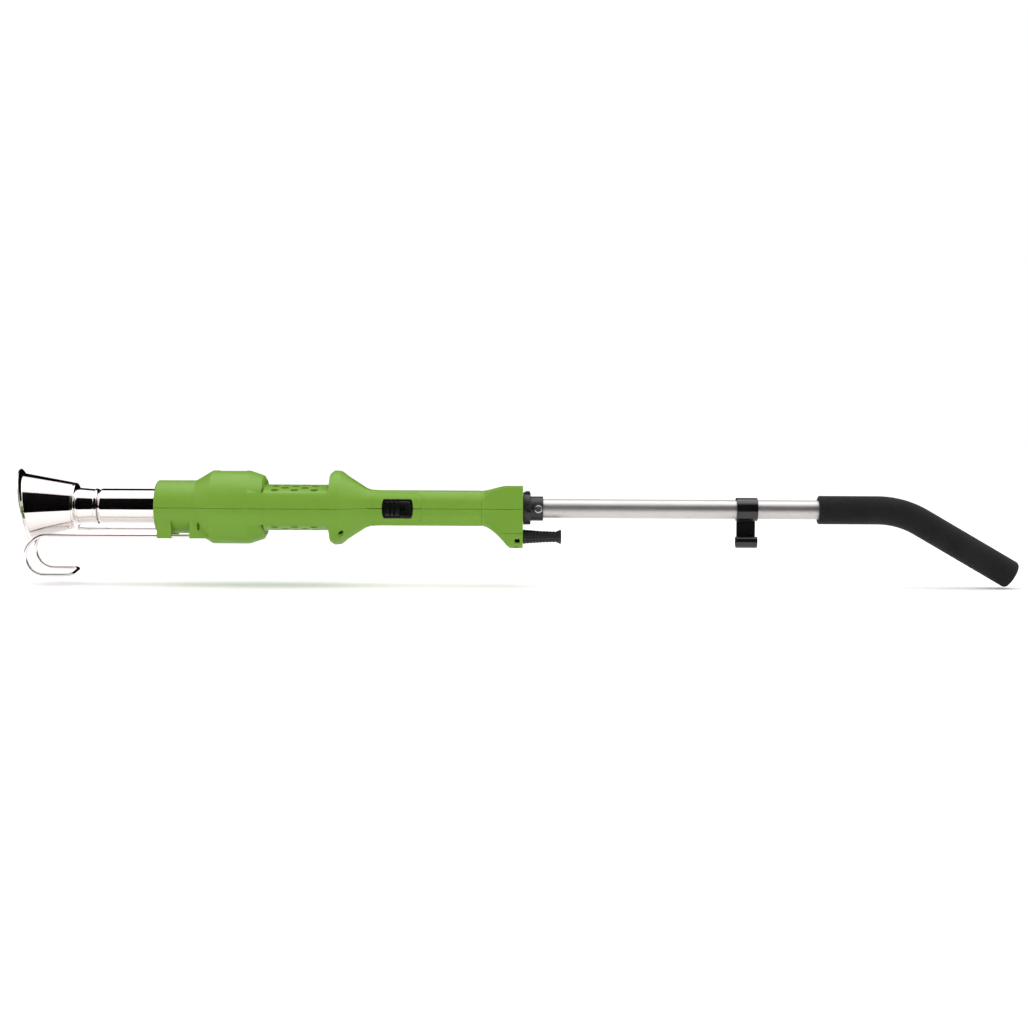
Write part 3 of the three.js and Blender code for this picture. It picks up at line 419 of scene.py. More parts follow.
def makeMaterial(name, look):
    material = bpy.data.materials.new(name)
    material.use_nodes = True
    tree = material.node_tree
    shader = tree.nodes["Principled BSDF"]
    place = addNode(tree, "ShaderNodeTexCoord")
    stretch = addNode(tree, "ShaderNodeMapping")
    stretch.inputs["Scale"].default_value = look.get("stretch", (1, 1, 1))
    tree.links.new(place.outputs["Object"], stretch.inputs["Vector"])
    vector = stretch.outputs["Vector"]
    drift = placeGroup(tree, "drift", place.outputs["Object"], Base=look["base"], Light=look["light"],
                       Dark=look["dark"], Scale=look.get("driftScale", 25), Amount=look.get("drift", 0.35))
    colour = drift["Color"]
    if "extra" in look:
        colour = look["extra"](tree, place.outputs["Object"], colour)
    # edges painted paler: rubbed wear, and on the plastics a painted edge highlight
    if look.get("wearAndHighlight", 0):
        wornAndHighlit = placeGroup(tree, "wearAndHighlight", place.outputs["Object"], Radius=look.get("wearAndHighlightRadius", 0.0006),
                            Breakup=look.get("breakup", 180))
        share = mathNode(tree, "MULTIPLY", wornAndHighlit["Mask"], look["wearAndHighlight"])
        colour = mixColour(tree, share, colour, look["wornAndHighlitEdge"])
    tree.links.new(colour, shader.inputs["Base Color"])
    low, high = look["rough"]
    handled = placeGroup(tree, "handling", vector, Scale=look.get("smudgeScale", 40), Low=low, High=high)
    tree.links.new(handled["Roughness"], shader.inputs["Roughness"])
    for label, value in (("Metallic", look.get("metal", 0.0)), ("IOR", look.get("ior", 1.5)),
                         ("Coat Weight", look.get("coat", 0.0)), ("Coat Roughness", 0.08),
                         ("Sheen Weight", look.get("sheen", 0.0)), ("Sheen Roughness", 0.5)):
        shader.inputs[label].default_value = value
    grain = placeGroup(tree, "grain", vector, Scale=look.get("grainScale", 900),
                       Cells=look.get("cells", 0.3))
    bump = addNode(tree, "ShaderNodeBump")
    bump.inputs["Strength"].default_value = look.get("bump", 0.15)
    bump.inputs["Distance"].default_value = look.get("depth", 0.0001)
    tree.links.new(grain["Height"], bump.inputs["Height"])
    tree.links.new(bump.outputs["Normal"], shader.inputs["Normal"])
    return material


def heatTint(tree, vector, colour):
    # straw and blue temper colours in bands along the wire
    split = addNode(tree, "ShaderNodeSeparateXYZ")
    tree.links.new(vector, split.inputs[0])
    wave = mathNode(tree, "SINE", mathNode(tree, "MULTIPLY", split.outputs["X"], 260), 0)
    return mixColour(tree, rangeNode(tree, wave, -0.2, 1), colour, tint(92, 84, 128))


def boardTracks(tree, vector, colour):
    # copper tracks under the solder mask, as paler lines
    tracks = addNode(tree, "ShaderNodeTexBrick", offset=0.5)
    tracks.inputs["Scale"].default_value = 160
    tracks.inputs["Mortar Size"].default_value = 0.05
    tree.links.new(vector, tracks.inputs["Vector"])
    return mixColour(tree, tracks.outputs["Fac"], colour, tint(96, 150, 88))


def micaFlakes(tree, vector, colour):
    flakes = addNode(tree, "ShaderNodeTexVoronoi")
    flakes.inputs["Scale"].default_value = 420
    tree.links.new(vector, flakes.inputs["Vector"])
    share = rangeNode(tree, flakes.outputs["Distance"], 0.1, 0.5, 0, 0.5)
    return mixColour(tree, share, colour, tint(226, 214, 184))


def foamPoreShade(tree, vector, colour):
    # painted shade: open pores as darker specks, the cell walls between them paler, at the foam's own colour
    pores = addNode(tree, "ShaderNodeTexVoronoi")
    pores.inputs["Scale"].default_value = 1300
    tree.links.new(vector, pores.inputs["Vector"])
    return mixColour(tree, rangeNode(tree, pores.outputs["Distance"], 0.25, 0.6), tint(17, 16, 16), colour)


looks = {
    "green_plastic": {
        "base": tint(107, 150, 38), "light": tint(115, 157, 44), "dark": tint(98, 142, 33),
        # the paler edge colour is a painted edge highlight along fillets and steps, with some rubbed wear
        "wornAndHighlitEdge": tint(158, 196, 100), "wearAndHighlight": 0.45, "wearAndHighlightRadius": 0.0007, "rough": (0.4, 0.5), "ior": 1.42,
        "bump": 0.12, "depth": 0.00012, "grainScale": 1500, "drift": 0.4, "driftScale": 18,
    },
    "chrome": {
        "base": tint(234, 227, 225), "light": tint(240, 234, 232), "dark": tint(222, 215, 213),
        "rough": (0.035, 0.075), "metal": 1.0, "bump": 0.03, "depth": 0.00004, "grainScale": 500,
        "smudgeScale": 24, "drift": 0.3,
    },
    "black_plastic": {
        "base": tint(27, 26, 26), "light": tint(38, 37, 37), "dark": tint(20, 19, 20),
        # the paler edge colour is rubbed wear and a painted edge highlight
        "wornAndHighlitEdge": tint(84, 82, 80), "wearAndHighlight": 0.3, "rough": (0.36, 0.52), "bump": 0.2, "depth": 0.00012,
        "grainScale": 1300, "drift": 0.5,
    },
    "gloss_black": {
        "base": tint(15, 14, 14), "light": tint(22, 20, 21), "dark": tint(10, 9, 10),
        # the paler edge colour is a painted gloss highlight on edges and ribs, with some rubbed wear
        "wornAndHighlitEdge": tint(70, 68, 68), "wearAndHighlight": 0.2, "rough": (0.12, 0.24), "bump": 0.04, "depth": 0.00006,
        "grainScale": 700, "coat": 0.25,
    },
    "foam": {
        "base": tint(22, 21, 20), "light": tint(31, 29, 28), "dark": tint(15, 14, 14),
        "rough": (0.82, 0.95), "bump": 0.6, "depth": 0.0004, "grainScale": 1100, "cells": 0.9,
        # the extra colour is painted shade in the foam's pores
        "sheen": 0.05, "ior": 1.35, "extra": foamPoreShade, "drift": 0.6,
    },
    "rubber": {
        "base": tint(24, 23, 23), "light": tint(33, 32, 32), "dark": tint(17, 16, 17),
        "wornAndHighlitEdge": tint(70, 68, 67), "wearAndHighlight": 0.3, "rough": (0.5, 0.66), "bump": 0.25, "depth": 0.00014,
        "grainScale": 1100,
    },
    "aluminium": {
        "base": tint(202, 198, 197), "light": tint(212, 208, 207), "dark": tint(186, 183, 182),
        "rough": (0.46, 0.54), "metal": 1.0, "bump": 0.12, "depth": 0.00006, "stretch": (0.03, 1, 1),
        "grainScale": 2600, "smudgeScale": 160, "drift": 0.4,
    },
    "steel": {
        "base": tint(205, 204, 204), "light": tint(222, 221, 221), "dark": tint(172, 172, 174),
        "wornAndHighlitEdge": tint(235, 235, 235), "wearAndHighlight": 0.5, "rough": (0.18, 0.32), "metal": 1.0, "bump": 0.1,
        "grainScale": 1200,
    },
    "dark_steel": {
        "base": tint(92, 93, 97), "light": tint(112, 113, 116), "dark": tint(70, 70, 74),
        "wornAndHighlitEdge": tint(150, 150, 152), "wearAndHighlight": 0.5, "rough": (0.32, 0.48), "metal": 0.9, "bump": 0.15,
        "grainScale": 1400,
    },
    "mica": {
        "base": tint(184, 168, 138), "light": tint(206, 192, 162), "dark": tint(150, 132, 102),
        "rough": (0.45, 0.62), "bump": 0.3, "grainScale": 600, "extra": micaFlakes,
    },
    "ceramic": {
        "base": tint(228, 223, 211), "light": tint(238, 234, 224), "dark": tint(204, 196, 180),
        "wornAndHighlitEdge": tint(246, 244, 238), "wearAndHighlight": 0.3, "rough": (0.55, 0.72), "bump": 0.3, "grainScale": 800,
    },
    "heater_wire": {
        "base": tint(150, 108, 82), "light": tint(170, 128, 96), "dark": tint(104, 80, 70),
        "rough": (0.32, 0.5), "metal": 1.0, "bump": 0.2, "grainScale": 1500, "extra": heatTint,
    },
    "copper": {
        "base": tint(184, 112, 66), "light": tint(206, 134, 84), "dark": tint(140, 82, 50),
        "wornAndHighlitEdge": tint(226, 160, 112), "wearAndHighlight": 0.4, "rough": (0.22, 0.4), "metal": 1.0, "bump": 0.12,
        "stretch": (1, 6, 6),
    },
    "white_plastic": {
        "base": tint(230, 227, 219), "light": tint(238, 236, 230), "dark": tint(212, 207, 196),
        "wornAndHighlitEdge": tint(246, 245, 240), "wearAndHighlight": 0.2, "rough": (0.4, 0.55), "bump": 0.15,
    },
    "board": {
        "base": tint(44, 92, 52), "light": tint(54, 106, 60), "dark": tint(32, 72, 42),
        "rough": (0.3, 0.45), "bump": 0.15, "extra": boardTracks, "coat": 0.3,
    },
    "capacitor_film": {
        "base": tint(158, 78, 34), "light": tint(178, 94, 46), "dark": tint(124, 58, 26),
        "wornAndHighlitEdge": tint(198, 124, 78), "wearAndHighlight": 0.3, "rough": (0.16, 0.3), "bump": 0.08, "coat": 0.4,
    },
}
materials = {slot: makeMaterial(slot, look) for slot, look in looks.items()}

slotOf = {part["node"]: part["material_slot"] for part in frame["record"]["subparts"]}
for nodeName, node in frame["nodes"].items():
    for holder in node.material_slots:
        holder.material = materials[slotOf[nodeName]]
print("materials made:", len(materials))


# everything below is in mm from the middle of the housing's front end
toolOrigin = Vector((housingFront, 0, axisZ))


def toolBox(nodeName):
    low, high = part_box(nodeName)
    return (low - toolOrigin) / mm, (high - toolOrigin) / mm


def mount(piece, body, slot, nodes, smooth=32):
    mesh = piece.data
    mesh.transform(Matrix.Translation(toolOrigin))
    mesh.materials.clear()
    mesh.materials.append(materials[slot])
    mesh.polygons.foreach_set("use_smooth", [True] * len(mesh.polygons))
    mesh.set_sharp_from_angle(angle=math.radians(smooth))
    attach(piece, body)
    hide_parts(*nodes)


bell = {
    "mouthRadius": 39.2, "coneRadius": 34.4, "shoulderRadius": 24.6, "neckRadius": 17.75, "wall": 0.9,
    "lipLength": 3.6, "length": 52, "ringLength": 5, "lean": 0.16, "sideLean": 0.06, "sides": 160,
}


def makeBell():
    low, high = toolBox("bell_nozzle")
    back = high.x
    front = low.x + math.hypot(bell["lean"], bell["sideLean"]) * bell["mouthRadius"]
    shoulder = front + bell["length"]
    ring = shoulder + bell["ringLength"]
    neck = bell["neckRadius"]
    wall = bell["wall"]
    lipBack = front + bell["lipLength"]
    outline = rounded([
        (front, bell["mouthRadius"] - 0.5, 0.4),
        (front + 1.0, bell["mouthRadius"], 0.4),
        (front + 1.5, bell["mouthRadius"] - 1.2, 0.5),
        (lipBack, bell["coneRadius"], 1.4),
        (shoulder - 1.0, bell["shoulderRadius"] + 0.2, 0.3),
        (shoulder - 0.7, bell["shoulderRadius"] - 0.7, 0.2),
        (shoulder - 0.2, bell["shoulderRadius"] - 0.7, 0.2),
        (shoulder + 0.2, bell["shoulderRadius"] + 0.1, 0.6),
        (shoulder + 1.6, bell["shoulderRadius"] - 0.4, 1.2),
        (shoulder + 2.8, neck + 2.0, 1.2),
        (ring - 0.6, neck + 1.0, 0.6),
        (ring, neck + 1.6, 0.8),
        (ring + 1.4, neck + 1.4, 1.0),
        (back - 3.4, neck + 0.3, 0.6),
        (back - 2.6, neck + 1.0, 0.6),
        (back, neck + 0.7, 0.7),
        (back, neck - wall, 0.2),
        (ring, neck - wall, 0.8),
        (shoulder + 1.6, neck + 0.9, 1.0),
        (shoulder - 0.6, bell["shoulderRadius"] - 1.6, 1.0),
        (lipBack, bell["coneRadius"] - 1.0, 1.2),
        (front + 0.6, bell["mouthRadius"] - 2.2, 0.6),
    ])
    piece = lathe("bellNozzle", outline, bell["sides"])
    for vert in piece.data.vertices:
        share = min(max((shoulder * mm - vert.co.x) / (bell["length"] * mm), 0), 1)
        vert.co.x -= share * (bell["lean"] * vert.co.z + bell["sideLean"] * vert.co.y)
    mount(piece, "bell", "chrome", ["bell_nozzle"], 50)


outlet = {
    "spigotRadius": 16.4, "spigotLength": 21, "stepLength": 3.6, "radius": 18.7, "wall": 0.8, "sides": 160,
}


def makeOutlet():
    low, high = toolBox("outlet_tube")
    front, back = low.x, high.x
    shoulder = front + outlet["spigotLength"]
    full = shoulder + outlet["stepLength"]
    small, large, wall = outlet["spigotRadius"], outlet["radius"], outlet["wall"]
    outline = rounded([
        (front, small, 0.3), (shoulder, small, 0.8), (full, large, 2.2), (back, large, 0.2),
        (back, large - wall, 0.2), (full, large - wall, 1.6), (shoulder, small - wall, 0.8),
        (front, small - wall, 0.3),
    ])
    mount(lathe("outletTube", outline, outlet["sides"]), "housing", "chrome", ["outlet_tube"], 50)


stand = {
    "wire": 1.8, "spacing": 44, "legDrop": 27, "hookDrop": 42, "hookReach": 47.8, "bend": 20, "tipBend": 12,
    "roll": 6, "sides": 24,
}


def makeStand():
    low, high = toolBox("stand_wire")
    hookFront = low.x + stand["wire"]
    legEnd = high.x
    bottom = -stand["hookDrop"]
    corners = []
    for side in (-1, 1):
        y = side * stand["spacing"] / 2
        leg = [
            (Vector((legEnd, y, 0)), 0),
            (Vector((hookFront + 15, y, 0)), stand["bend"]),
            (Vector((hookFront + 0.4, y, -13.5)), stand["bend"]),
            (Vector((hookFront, y, bottom)), stand["bend"] - 0.5),
            (Vector((hookFront + stand["hookReach"], y, bottom)), stand["tipBend"]),
        ]
        corners += leg if side < 0 else leg[::-1]
    stops = route(corners, 4)
    roll = Matrix.Rotation(math.radians(stand["roll"]), 3, "X")
    stops = [roll @ stop + Vector((0, 0, -stand["legDrop"])) for stop in stops]
    length = stopsLength(stops)
    wire = stand["wire"]
    ease = 0.4
    profile = [(0, wire - ease), (ease, wire), (length - ease, wire), (length, wire - ease),
               (length, 0), (0, 0)]
    piece = sweep("standWire", stops, profile, stand["sides"], 6)
    mount(piece, "housing", "chrome", ["stand_wire"], 50)


housing = {
    "collarRadius": 27.8, "collarLength": 41.5, "coneLength": 17.5, "bulgeRadius": 38.4,
    "bulgeLength": 38.5, "chamferLength": 15, "stepLength": 3, "barrelRadius": 37.6, "barrelHeight": 23.9,
    "barrelLength": 65.5, "roofCrown": 0.0114, "guardRadius": 39.2, "guardLength": 41.5, "gripRadius": 21,
    "gripWidth": 19.5, "gripHeight": 18.3, "gripLength": 119.5, "lobeWidth": 21.6, "lobeTop": 23,
    "lobeBottom": 41.5, "lobeLength": 41.5, "lobeCurve": 25, "wall": 2.4, "seam": 0.16, "seamEase": 0.3,
    "ledgeAngle": 27.5, "cornerPower": 46, "sides": 104, "tubeRoom": 19.0, "padHeight": 0.75,
    "padGroove": 0.5, "padLength": 54.5, "padHalf": 15.2, "padCorner": 8, "backGroove": 0.45,
    "socketRoom": 13.9, "cordRoom": 6.9, "screwRoom": 3.3, "collarFlank": 23.6, "lobeFlank": 19.4,
    "panelHalf": 9, "panelFloor": 37.75, "blockRoom": 26.4, "blockTop": -6, "blockBottom": -31.8,
    "blocks": (((3.6, 24.7), (4.1, 25.2), (17.9, 25.2), (18.4, 24.7)),
               ((37.3, 24.7), (37.8, 25.2), (46.5, 25.2), (58.5, 22))),
    "ovalPlace": (47.0, -19.2), "ovalHalf": (1.6, 4), "ovalFloor": -22.8,
    "lobeGroove": ((-27, -30, -25.5), (2, -21.0, -24.5)),    # corners, x from the housing's back
    "lobePocket": ((-8.6, -30, -36), (-3.2, -20.1, -30.8)),
}


def housingTrack():
    # stations of x, side radius, upper and lower radius, side wall, roof, floor and how crowned the roof is
    h = housing
    far = 60
    collarBack = h["collarLength"]
    bulgeFront = collarBack + h["coneLength"]
    bulgeBack = bulgeFront + h["bulgeLength"]
    chamferBack = bulgeBack + h["chamferLength"]
    barrelFront = chamferBack + h["stepLength"]
    barrelBack = barrelFront + h["barrelLength"]
    gripFront = barrelBack + h["guardLength"]
    gripBack = gripFront + h["gripLength"]
    back = gripBack + h["lobeLength"]
    collar, bulge, barrel, guard = h["collarRadius"], h["bulgeRadius"], h["barrelRadius"], h["guardRadius"]
    roof, crown, grip = h["barrelHeight"], h["roofCrown"], h["gripRadius"]
    width, height = h["gripWidth"], h["gripHeight"]
    near = guard * 1.03
    track = [
        (0, collar - 2.6, collar - 2.6, far, far, far, 0),
        (0.8, collar - 1.1, collar - 1.1, far, far, far, 0),
        (2.2, collar, collar, far, far, far, 0),
        (collarBack, collar, collar, far, far, far, 0),
        (bulgeFront, bulge, bulge, far, far, far, 0),
        (bulgeBack, bulge, bulge, far, far, far, 0),
        (chamferBack, bulge, bulge - 5, far, 44, 44, 0),
        (chamferBack + 1.9, bulge - 0.4, bulge - 9, far, 30, 30, crown / 2),
        (barrelFront - 0.5, barrel, barrel, far, roof, roof, crown),
        (barrelBack, barrel, barrel, far, roof, roof, crown),
        (barrelBack + 1.5, guard - 1.2, guard - 1.2, near, 35.4, 35.4, crown / 3),
        (barrelBack + 5.6, guard, guard, near, near, near, 0),
        (barrelBack + 12.4, guard - 0.5, guard - 0.5, near, near, near, 0),
        (barrelBack + 19.3, guard - 4, guard - 4, 34.6, 33.0, 33.0, 0),
        (gripFront - 3, grip + 2.6, grip + 2.6, width + 2.6, height + 2.2, height + 2.2, 0),
        (gripFront + 2, grip + 0.7, grip + 0.7, width + 0.6, height + 0.5, height + 0.5, 0),
        (gripFront + 12, grip, grip, width, height, height, 0),
        (gripBack, grip, grip, width, height, height, 0),
    ]
    for k in range(1, 9):
        t = k / 8
        ease = t * t * (3 - 2 * t)
        around = grip + (h["lobeBottom"] + 2 - grip) * t
        track.append((gripBack + t * h["lobeCurve"], around, around,
                      width + (h["lobeWidth"] - width) * ease,
                      height + (h["lobeTop"] - height) * ease,
                      height + (h["lobeBottom"] - 3 - height) * t ** 1.6, 0))
    rear = (h["lobeBottom"] + 2, h["lobeBottom"] + 2, h["lobeWidth"], h["lobeTop"], h["lobeBottom"], 0)
    track.append((gripBack + h["lobeCurve"] + 3, *rear))
    track.append((back, *rear))
    return track, {"collarBack": collarBack, "bulgeFront": bulgeFront, "bulgeBack": bulgeBack,
                   "chamferBack": chamferBack, "barrelFront": barrelFront, "barrelBack": barrelBack,
                   "gripFront": gripFront, "gripBack": gripBack, "back": back}


track, places = housingTrack()


def smoothTrack(stations, step=0.5, blur=2):
    # even steps along the outline, blurred so that every corner turns into a small round
    def outline(a):
        return Vector((a[0], min(a[2], a[4]), min(a[1], a[3]) * 0.5, min(a[2], a[5])))
    dense = []
    for a, b in zip(stations, stations[1:]):
        pieces = max(1, math.ceil((outline(b) - outline(a)).length / step))
        for k in range(pieces):
            dense.append([p + (q - p) * k / pieces for p, q in zip(a, b)])
    dense.append(list(stations[-1]))
    weights = [math.exp(-(k / blur) ** 2) for k in range(-2 * blur, 2 * blur + 1)]
    result = []
    last = len(dense) - 1
    for i in range(len(dense)):
        span = min(2 * blur, i, last - i)
        total = 0
        mixed = [0] * len(dense[0])
        for k in range(-span, span + 1):
            weight = weights[k + 2 * blur]
            total += weight
            mixed = [m + weight * v for m, v in zip(mixed, dense[i + k])]
        result.append([m / total for m in mixed])
    return result


def thinned(stations, gap, fine):
    # drop stations where nothing bends, keep them close in the fine stretches
    def turn(before, here, after, k):
        return (here[k] - before[k]) * (after[0] - here[0]) - (after[k] - here[k]) * (here[0] - before[0])

    kept = [stations[0]]
    for before, here, after in zip(stations, stations[1:], stations[2:]):
        bend = max(abs(turn(before, here, after, k)) for k in range(1, 6))
        reach = fine["gap"] if fine["from"] < here[0] < fine["to"] else gap
        if bend > 0.004 or here[0] - kept[-1][0] > reach:
            kept.append(here)
    kept.append(stations[-1])
    return kept


def padRise(x, y, z):
    # raised field round the switch, with rounded rear corners
    padBack = places["gripFront"] + housing["padLength"]
    if y > 0 or x < places["gripFront"] - 4:
        return 0
    corner = housing["padCorner"]
    past = Vector((max(x - (padBack - corner), 0), max(abs(z) - (housing["padHalf"] - corner), 0)))
    away = past.length - corner
    share = min(max(0.5 - away / 0.8, 0), 1)
    lead = min(max((x - places["gripFront"] + 4) / 14, 0), 1)
    rise = housing["padHeight"] * share * share * (3 - 2 * share)
    return lead * (rise - housing["padGroove"] * math.exp(-((away - 1.0) / 0.55) ** 2))


def reachAt(station, angle):
    x, side, cap, wall, roof, floor, crown = station
    c, s = abs(math.cos(angle)), abs(math.sin(angle))
    lift = min(max((math.degrees(math.asin(min(s, 1))) - housing["ledgeAngle"] + 1.2) / 2.4, 0), 1)
    lift = lift * lift * (3 - 2 * lift)
    reach = side + (cap - side) * lift
    roof = roof if math.sin(angle) > 0 else floor
    if crown > 1e-4:
        lean = 1 - crown * roof
        top = (math.sqrt(s * s * lean * lean + crown * roof * (2 - crown * roof)) - s * lean) / crown
    else:
        top = roof / (s + 1e-6)
    limits = (reach, wall / (c + 1e-6), top)
    power = housing["cornerPower"]
    least = min(limits)
    reach = least * sum((least / limit) ** power for limit in limits) ** (-1 / power)
    return reach + padRise(x, reach * math.cos(angle), reach * math.sin(angle))


def makeShell(name, up):
    # one half: an arc outside, the same arc one wall further in, closed along the seam and at both ends
    h = housing
    fine = {"from": places["gripFront"] - 6, "to": places["gripFront"] + 60, "gap": 0.6}
    stations = thinned(smoothTrack(track), 2.6, fine)
    groove = places["gripBack"] - 1.5
    for offset in (-0.5, -0.25, 0.25, 0.5):
        near = min(stations, key=lambda s: abs(s[0] - groove))
        stations.append([groove + offset, *near[1:]])
    stations.sort(key=lambda s: s[0])
    sides = h["sides"]
    table = []
    for station in stations:
        row = []
        for k in range(sides + 1):
            angle = math.pi * k / sides
            row.append(reachAt(station, angle if up else -angle))
        dip = h["backGroove"] if abs(station[0] - groove) < 0.3 else 0
        table.append([reach - dip for reach in row])
    outer, inner = [], []
    for j, station in enumerate(stations):
        x = station[0]
        close = [i for i in range(len(stations)) if abs(stations[i][0] - x) <= h["wall"]]
        outRow, inRow = [], []
        for k in range(sides + 1):
            angle = math.pi * k / sides
            reach = table[j][k]
            seamAngle = math.asin((h["seam"] + h["seamEase"]) / reach)
            angle = min(max(angle, seamAngle), math.pi - seamAngle)
            outRow.append((angle, reach))
            if x < h["wall"]:
                within = h["tubeRoom"]
            elif x > places["back"] - h["wall"]:
                within = 2.0
            else:
                within = min(table[i][k] for i in close) - h["wall"]
            inRow.append((math.pi * k / sides, within))
        outer.append(outRow)
        inner.append(inRow)
    rings = []
    sign = 1 if up else -1
    for j, station in enumerate(stations):
        x = station[0]
        ring = []
        lip = outer[j][0][1] - h["seamEase"]
        ring.append((lip, h["seam"]))
        for angle, reach in outer[j]:
            ring.append((reach * math.cos(angle), reach * math.sin(angle)))
        ring.append((-lip, h["seam"]))
        for angle, reach in reversed(inner[j]):
            ring.append((reach * math.cos(angle), max(reach * math.sin(angle), h["seam"])))
        rings.append([Vector((x, y, sign * z)) * mm for y, z in ring])
    return skin(name, rings)


vents = {"rows": 9, "rowGap": 7, "start": 10.9, "pitch": 20.4, "length": 8.4, "width": 6.2}


def ventCutters(up):
    # long ovals in staggered rows across the barrel's roof
    cutters = []
    reach = (8, 40) if up else (-40, -8)
    ring = circlePoints(vents["length"] / 2, 24, vents["width"] / 2)
    for row in range(vents["rows"]):
        y = (row - (vents["rows"] - 1) / 2) * vents["rowGap"]
        x = places["barrelFront"] + vents["start"] + (row % 2) * vents["pitch"] / 2
        while x < places["barrelBack"] - 6:
            rings = [[Vector((x + u, y + v, z)) * mm for u, v in ring] for z in reach]
            cutters.append(skin("vent", rings))
            x += vents["pitch"]
    return cutters


def circlePoints(radius, sides, height=None):
    # a circle, or an oval if its second half axis is given
    turns = [2 * math.pi * k / sides for k in range(sides)]
    return [(radius * math.cos(turn), (height or radius) * math.sin(turn)) for turn in turns]


def shaft(name, radius, x, y, z0, z1, sides=32):
    # an upright round cutter
    ring = circlePoints(radius, sides)
    return skin(name, [[Vector((x + u, y + v, z)) * mm for u, v in ring] for z in (z0, z1)])


def bore(name, radius, x0, x1, z=0.0, y=0.0, sides=64):
    # a round cutter along the tool
    ring = circlePoints(radius, sides)
    return skin(name, [[Vector((x, y + u, z + v)) * mm for u, v in ring] for x in (x0, x1)])


def clipBlocks():
    # two flat-sided blocks under the collar and the cone, from stations of x and half width
    top, bottom = housing["blockTop"], housing["blockBottom"]
    blocks = []
    for stations in housing["blocks"]:
        rings = []
        for x, half in stations:
            outline = rounded([(-half, top, 0), (-half, bottom, 0.9), (half, bottom, 0.9), (half, top, 0)])
            rings.append([Vector((x, y, z)) * mm for y, z in outline])
        block = skin("clipBlock", rings)
        combine(block, [bore("room", housing["blockRoom"], stations[0][0] - 2, stations[-1][0] + 2)])
        blocks.append(block)
    return merged(blocks)


def legRooms():
    # holes for the stand's two legs
    roll = math.radians(stand["roll"])
    legEnd = toolBox("stand_wire")[1].x + 0.4
    legs = []
    for side in (-1, 1):
        out = side * stand["spacing"] / 2
        y, z = out * math.cos(roll), out * math.sin(roll) - stand["legDrop"]
        legs.append(bore("leg", stand["wire"] + 0.25, -3, legEnd, z, y, 24))
    return merged(legs)


def screwPlace(k):
    # its x and y, and the heights of its head and its tip
    low, high = toolBox(f"housing_screw_{k}")
    return (low.x + high.x) / 2, (low.y + high.y) / 2, low.z, high.z


def screwRooms():
    # wells under the screw heads, kept inside the collar's and the lobe's flanks
    rooms = []
    for k in range(1, 7):
        x, y, head = screwPlace(k)[:3]
        room = shaft("screwRoom", housing["screwRoom"], x, y, -60, head + 2.4)
        flank = 60
        if x < places["bulgeFront"]:
            flank = housing["collarFlank"]
        elif x > places["gripBack"]:
            flank = housing["lobeFlank"]
        inside = easedBox("flank", (x - 9, -flank, -70), (x + 9, flank, 0), 0)
        rooms.append(combine(room, [inside], "INTERSECT"))
    return rooms


def sideCutters():
    # a groove and a pocket in the lobe's side, a long hole in the rear block's side
    back = Vector((places["back"], 0, 0))
    groove, pocket = [easedBox(name, *[back + Vector(corner) for corner in housing[name]], 0)
                      for name in ("lobeGroove", "lobePocket")]
    x, z = housing["ovalPlace"]
    wide, tall = housing["ovalHalf"]
    ring = circlePoints(wide, 24, tall)
    depths = (-30, housing["ovalFloor"])
    oval = skin("oval", [[Vector((x + u, y, z + v)) * mm for u, v in ring] for y in depths])
    return [groove, oval, pocket]


def makeHousing():
    switchLow, switchHigh = toolBox("switch_bezel")
    sleeveLow, sleeveHigh = toolBox("cord_sleeve")
    back = places["back"]
    bootZ = (sleeveLow.z + sleeveHigh.z) / 2
    halves = ((True, "upperHousing", "upper_housing"), (False, "lowerHousing", "lower_housing"))
    for up, name, node in halves:
        piece = makeShell(name, up)
        if not up:
            combine(piece, [clipBlocks()], "UNION")
            combine(piece, [legRooms()])
        cutters = [merged(ventCutters(up)), bore("socketRoom", housing["socketRoom"], back - 6, back + 4)]
        outline = plateOutline(switchLow.x - 0.2, switchHigh.x + 0.2, switchHigh.z + 0.2, switch["bulge"])
        cutters.append(slab("switchRoom", outline, -30, -9))
        if up:
            panelFront, panelBack = places["bulgeFront"] + 6, places["bulgeBack"] - 3
            half, floor = housing["panelHalf"], housing["panelFloor"]
            cutters.append(easedBox("panel", (panelFront, -half, floor), (panelBack, half, 45), 0.8))
        else:
            cutters.append(bore("cordRoom", housing["cordRoom"], back - 8, back + 4, bootZ))
            cutters += screwRooms() + sideCutters()
        combine(piece, cutters)
        mount(piece, "housing", "green_plastic", [node], 34)
    print("housing made")


screws = {"head": 2.85, "collarHead": 2.0, "stem": 1.4, "headHeight": 2.2, "slot": (1.7, 0.35)}


def makeScrews():
    for k in range(1, 7):
        x, y, top, tip = screwPlace(k)
        stem = screws["stem"]
        under = top + screws["headHeight"]
        head = screws["collarHead" if x < places["bulgeFront"] else "head"]    # the collar has little room
        outline = rounded([(top, 0, 0), (top, head - 0.15, 0.5), (under, head, 0.2),
                           (under + 0.2, stem + 0.1, 0.1), (tip, stem, 0.2), (tip, 0, 0)])
        piece = turned(lathe(f"housingScrew{k}", outline, 28), -90, "Y", (x, y, 0))
        cross = [easedBox("slot", (x - a, y - b, top - 1), (x + a, y + b, top + 1.3), 0)
                 for a, b in (screws["slot"], screws["slot"][::-1])]
        combine(piece, cross)
        mount(piece, "housing", "dark_steel", [f"housing_screw_{k}"])


switch = {
    "bulge": 1.8, "slider": 14.7, "sliderHeight": 15.4, "travel": 11, "pocket": 1.8, "edge": 0.7,
    "corner": 2.2, "room": 0.25, "stem": 2.2,
    "ribStarts": (1.7, 6.3, 10.9), "ribWidth": 2.0, "ribHeight": 1.6,
}


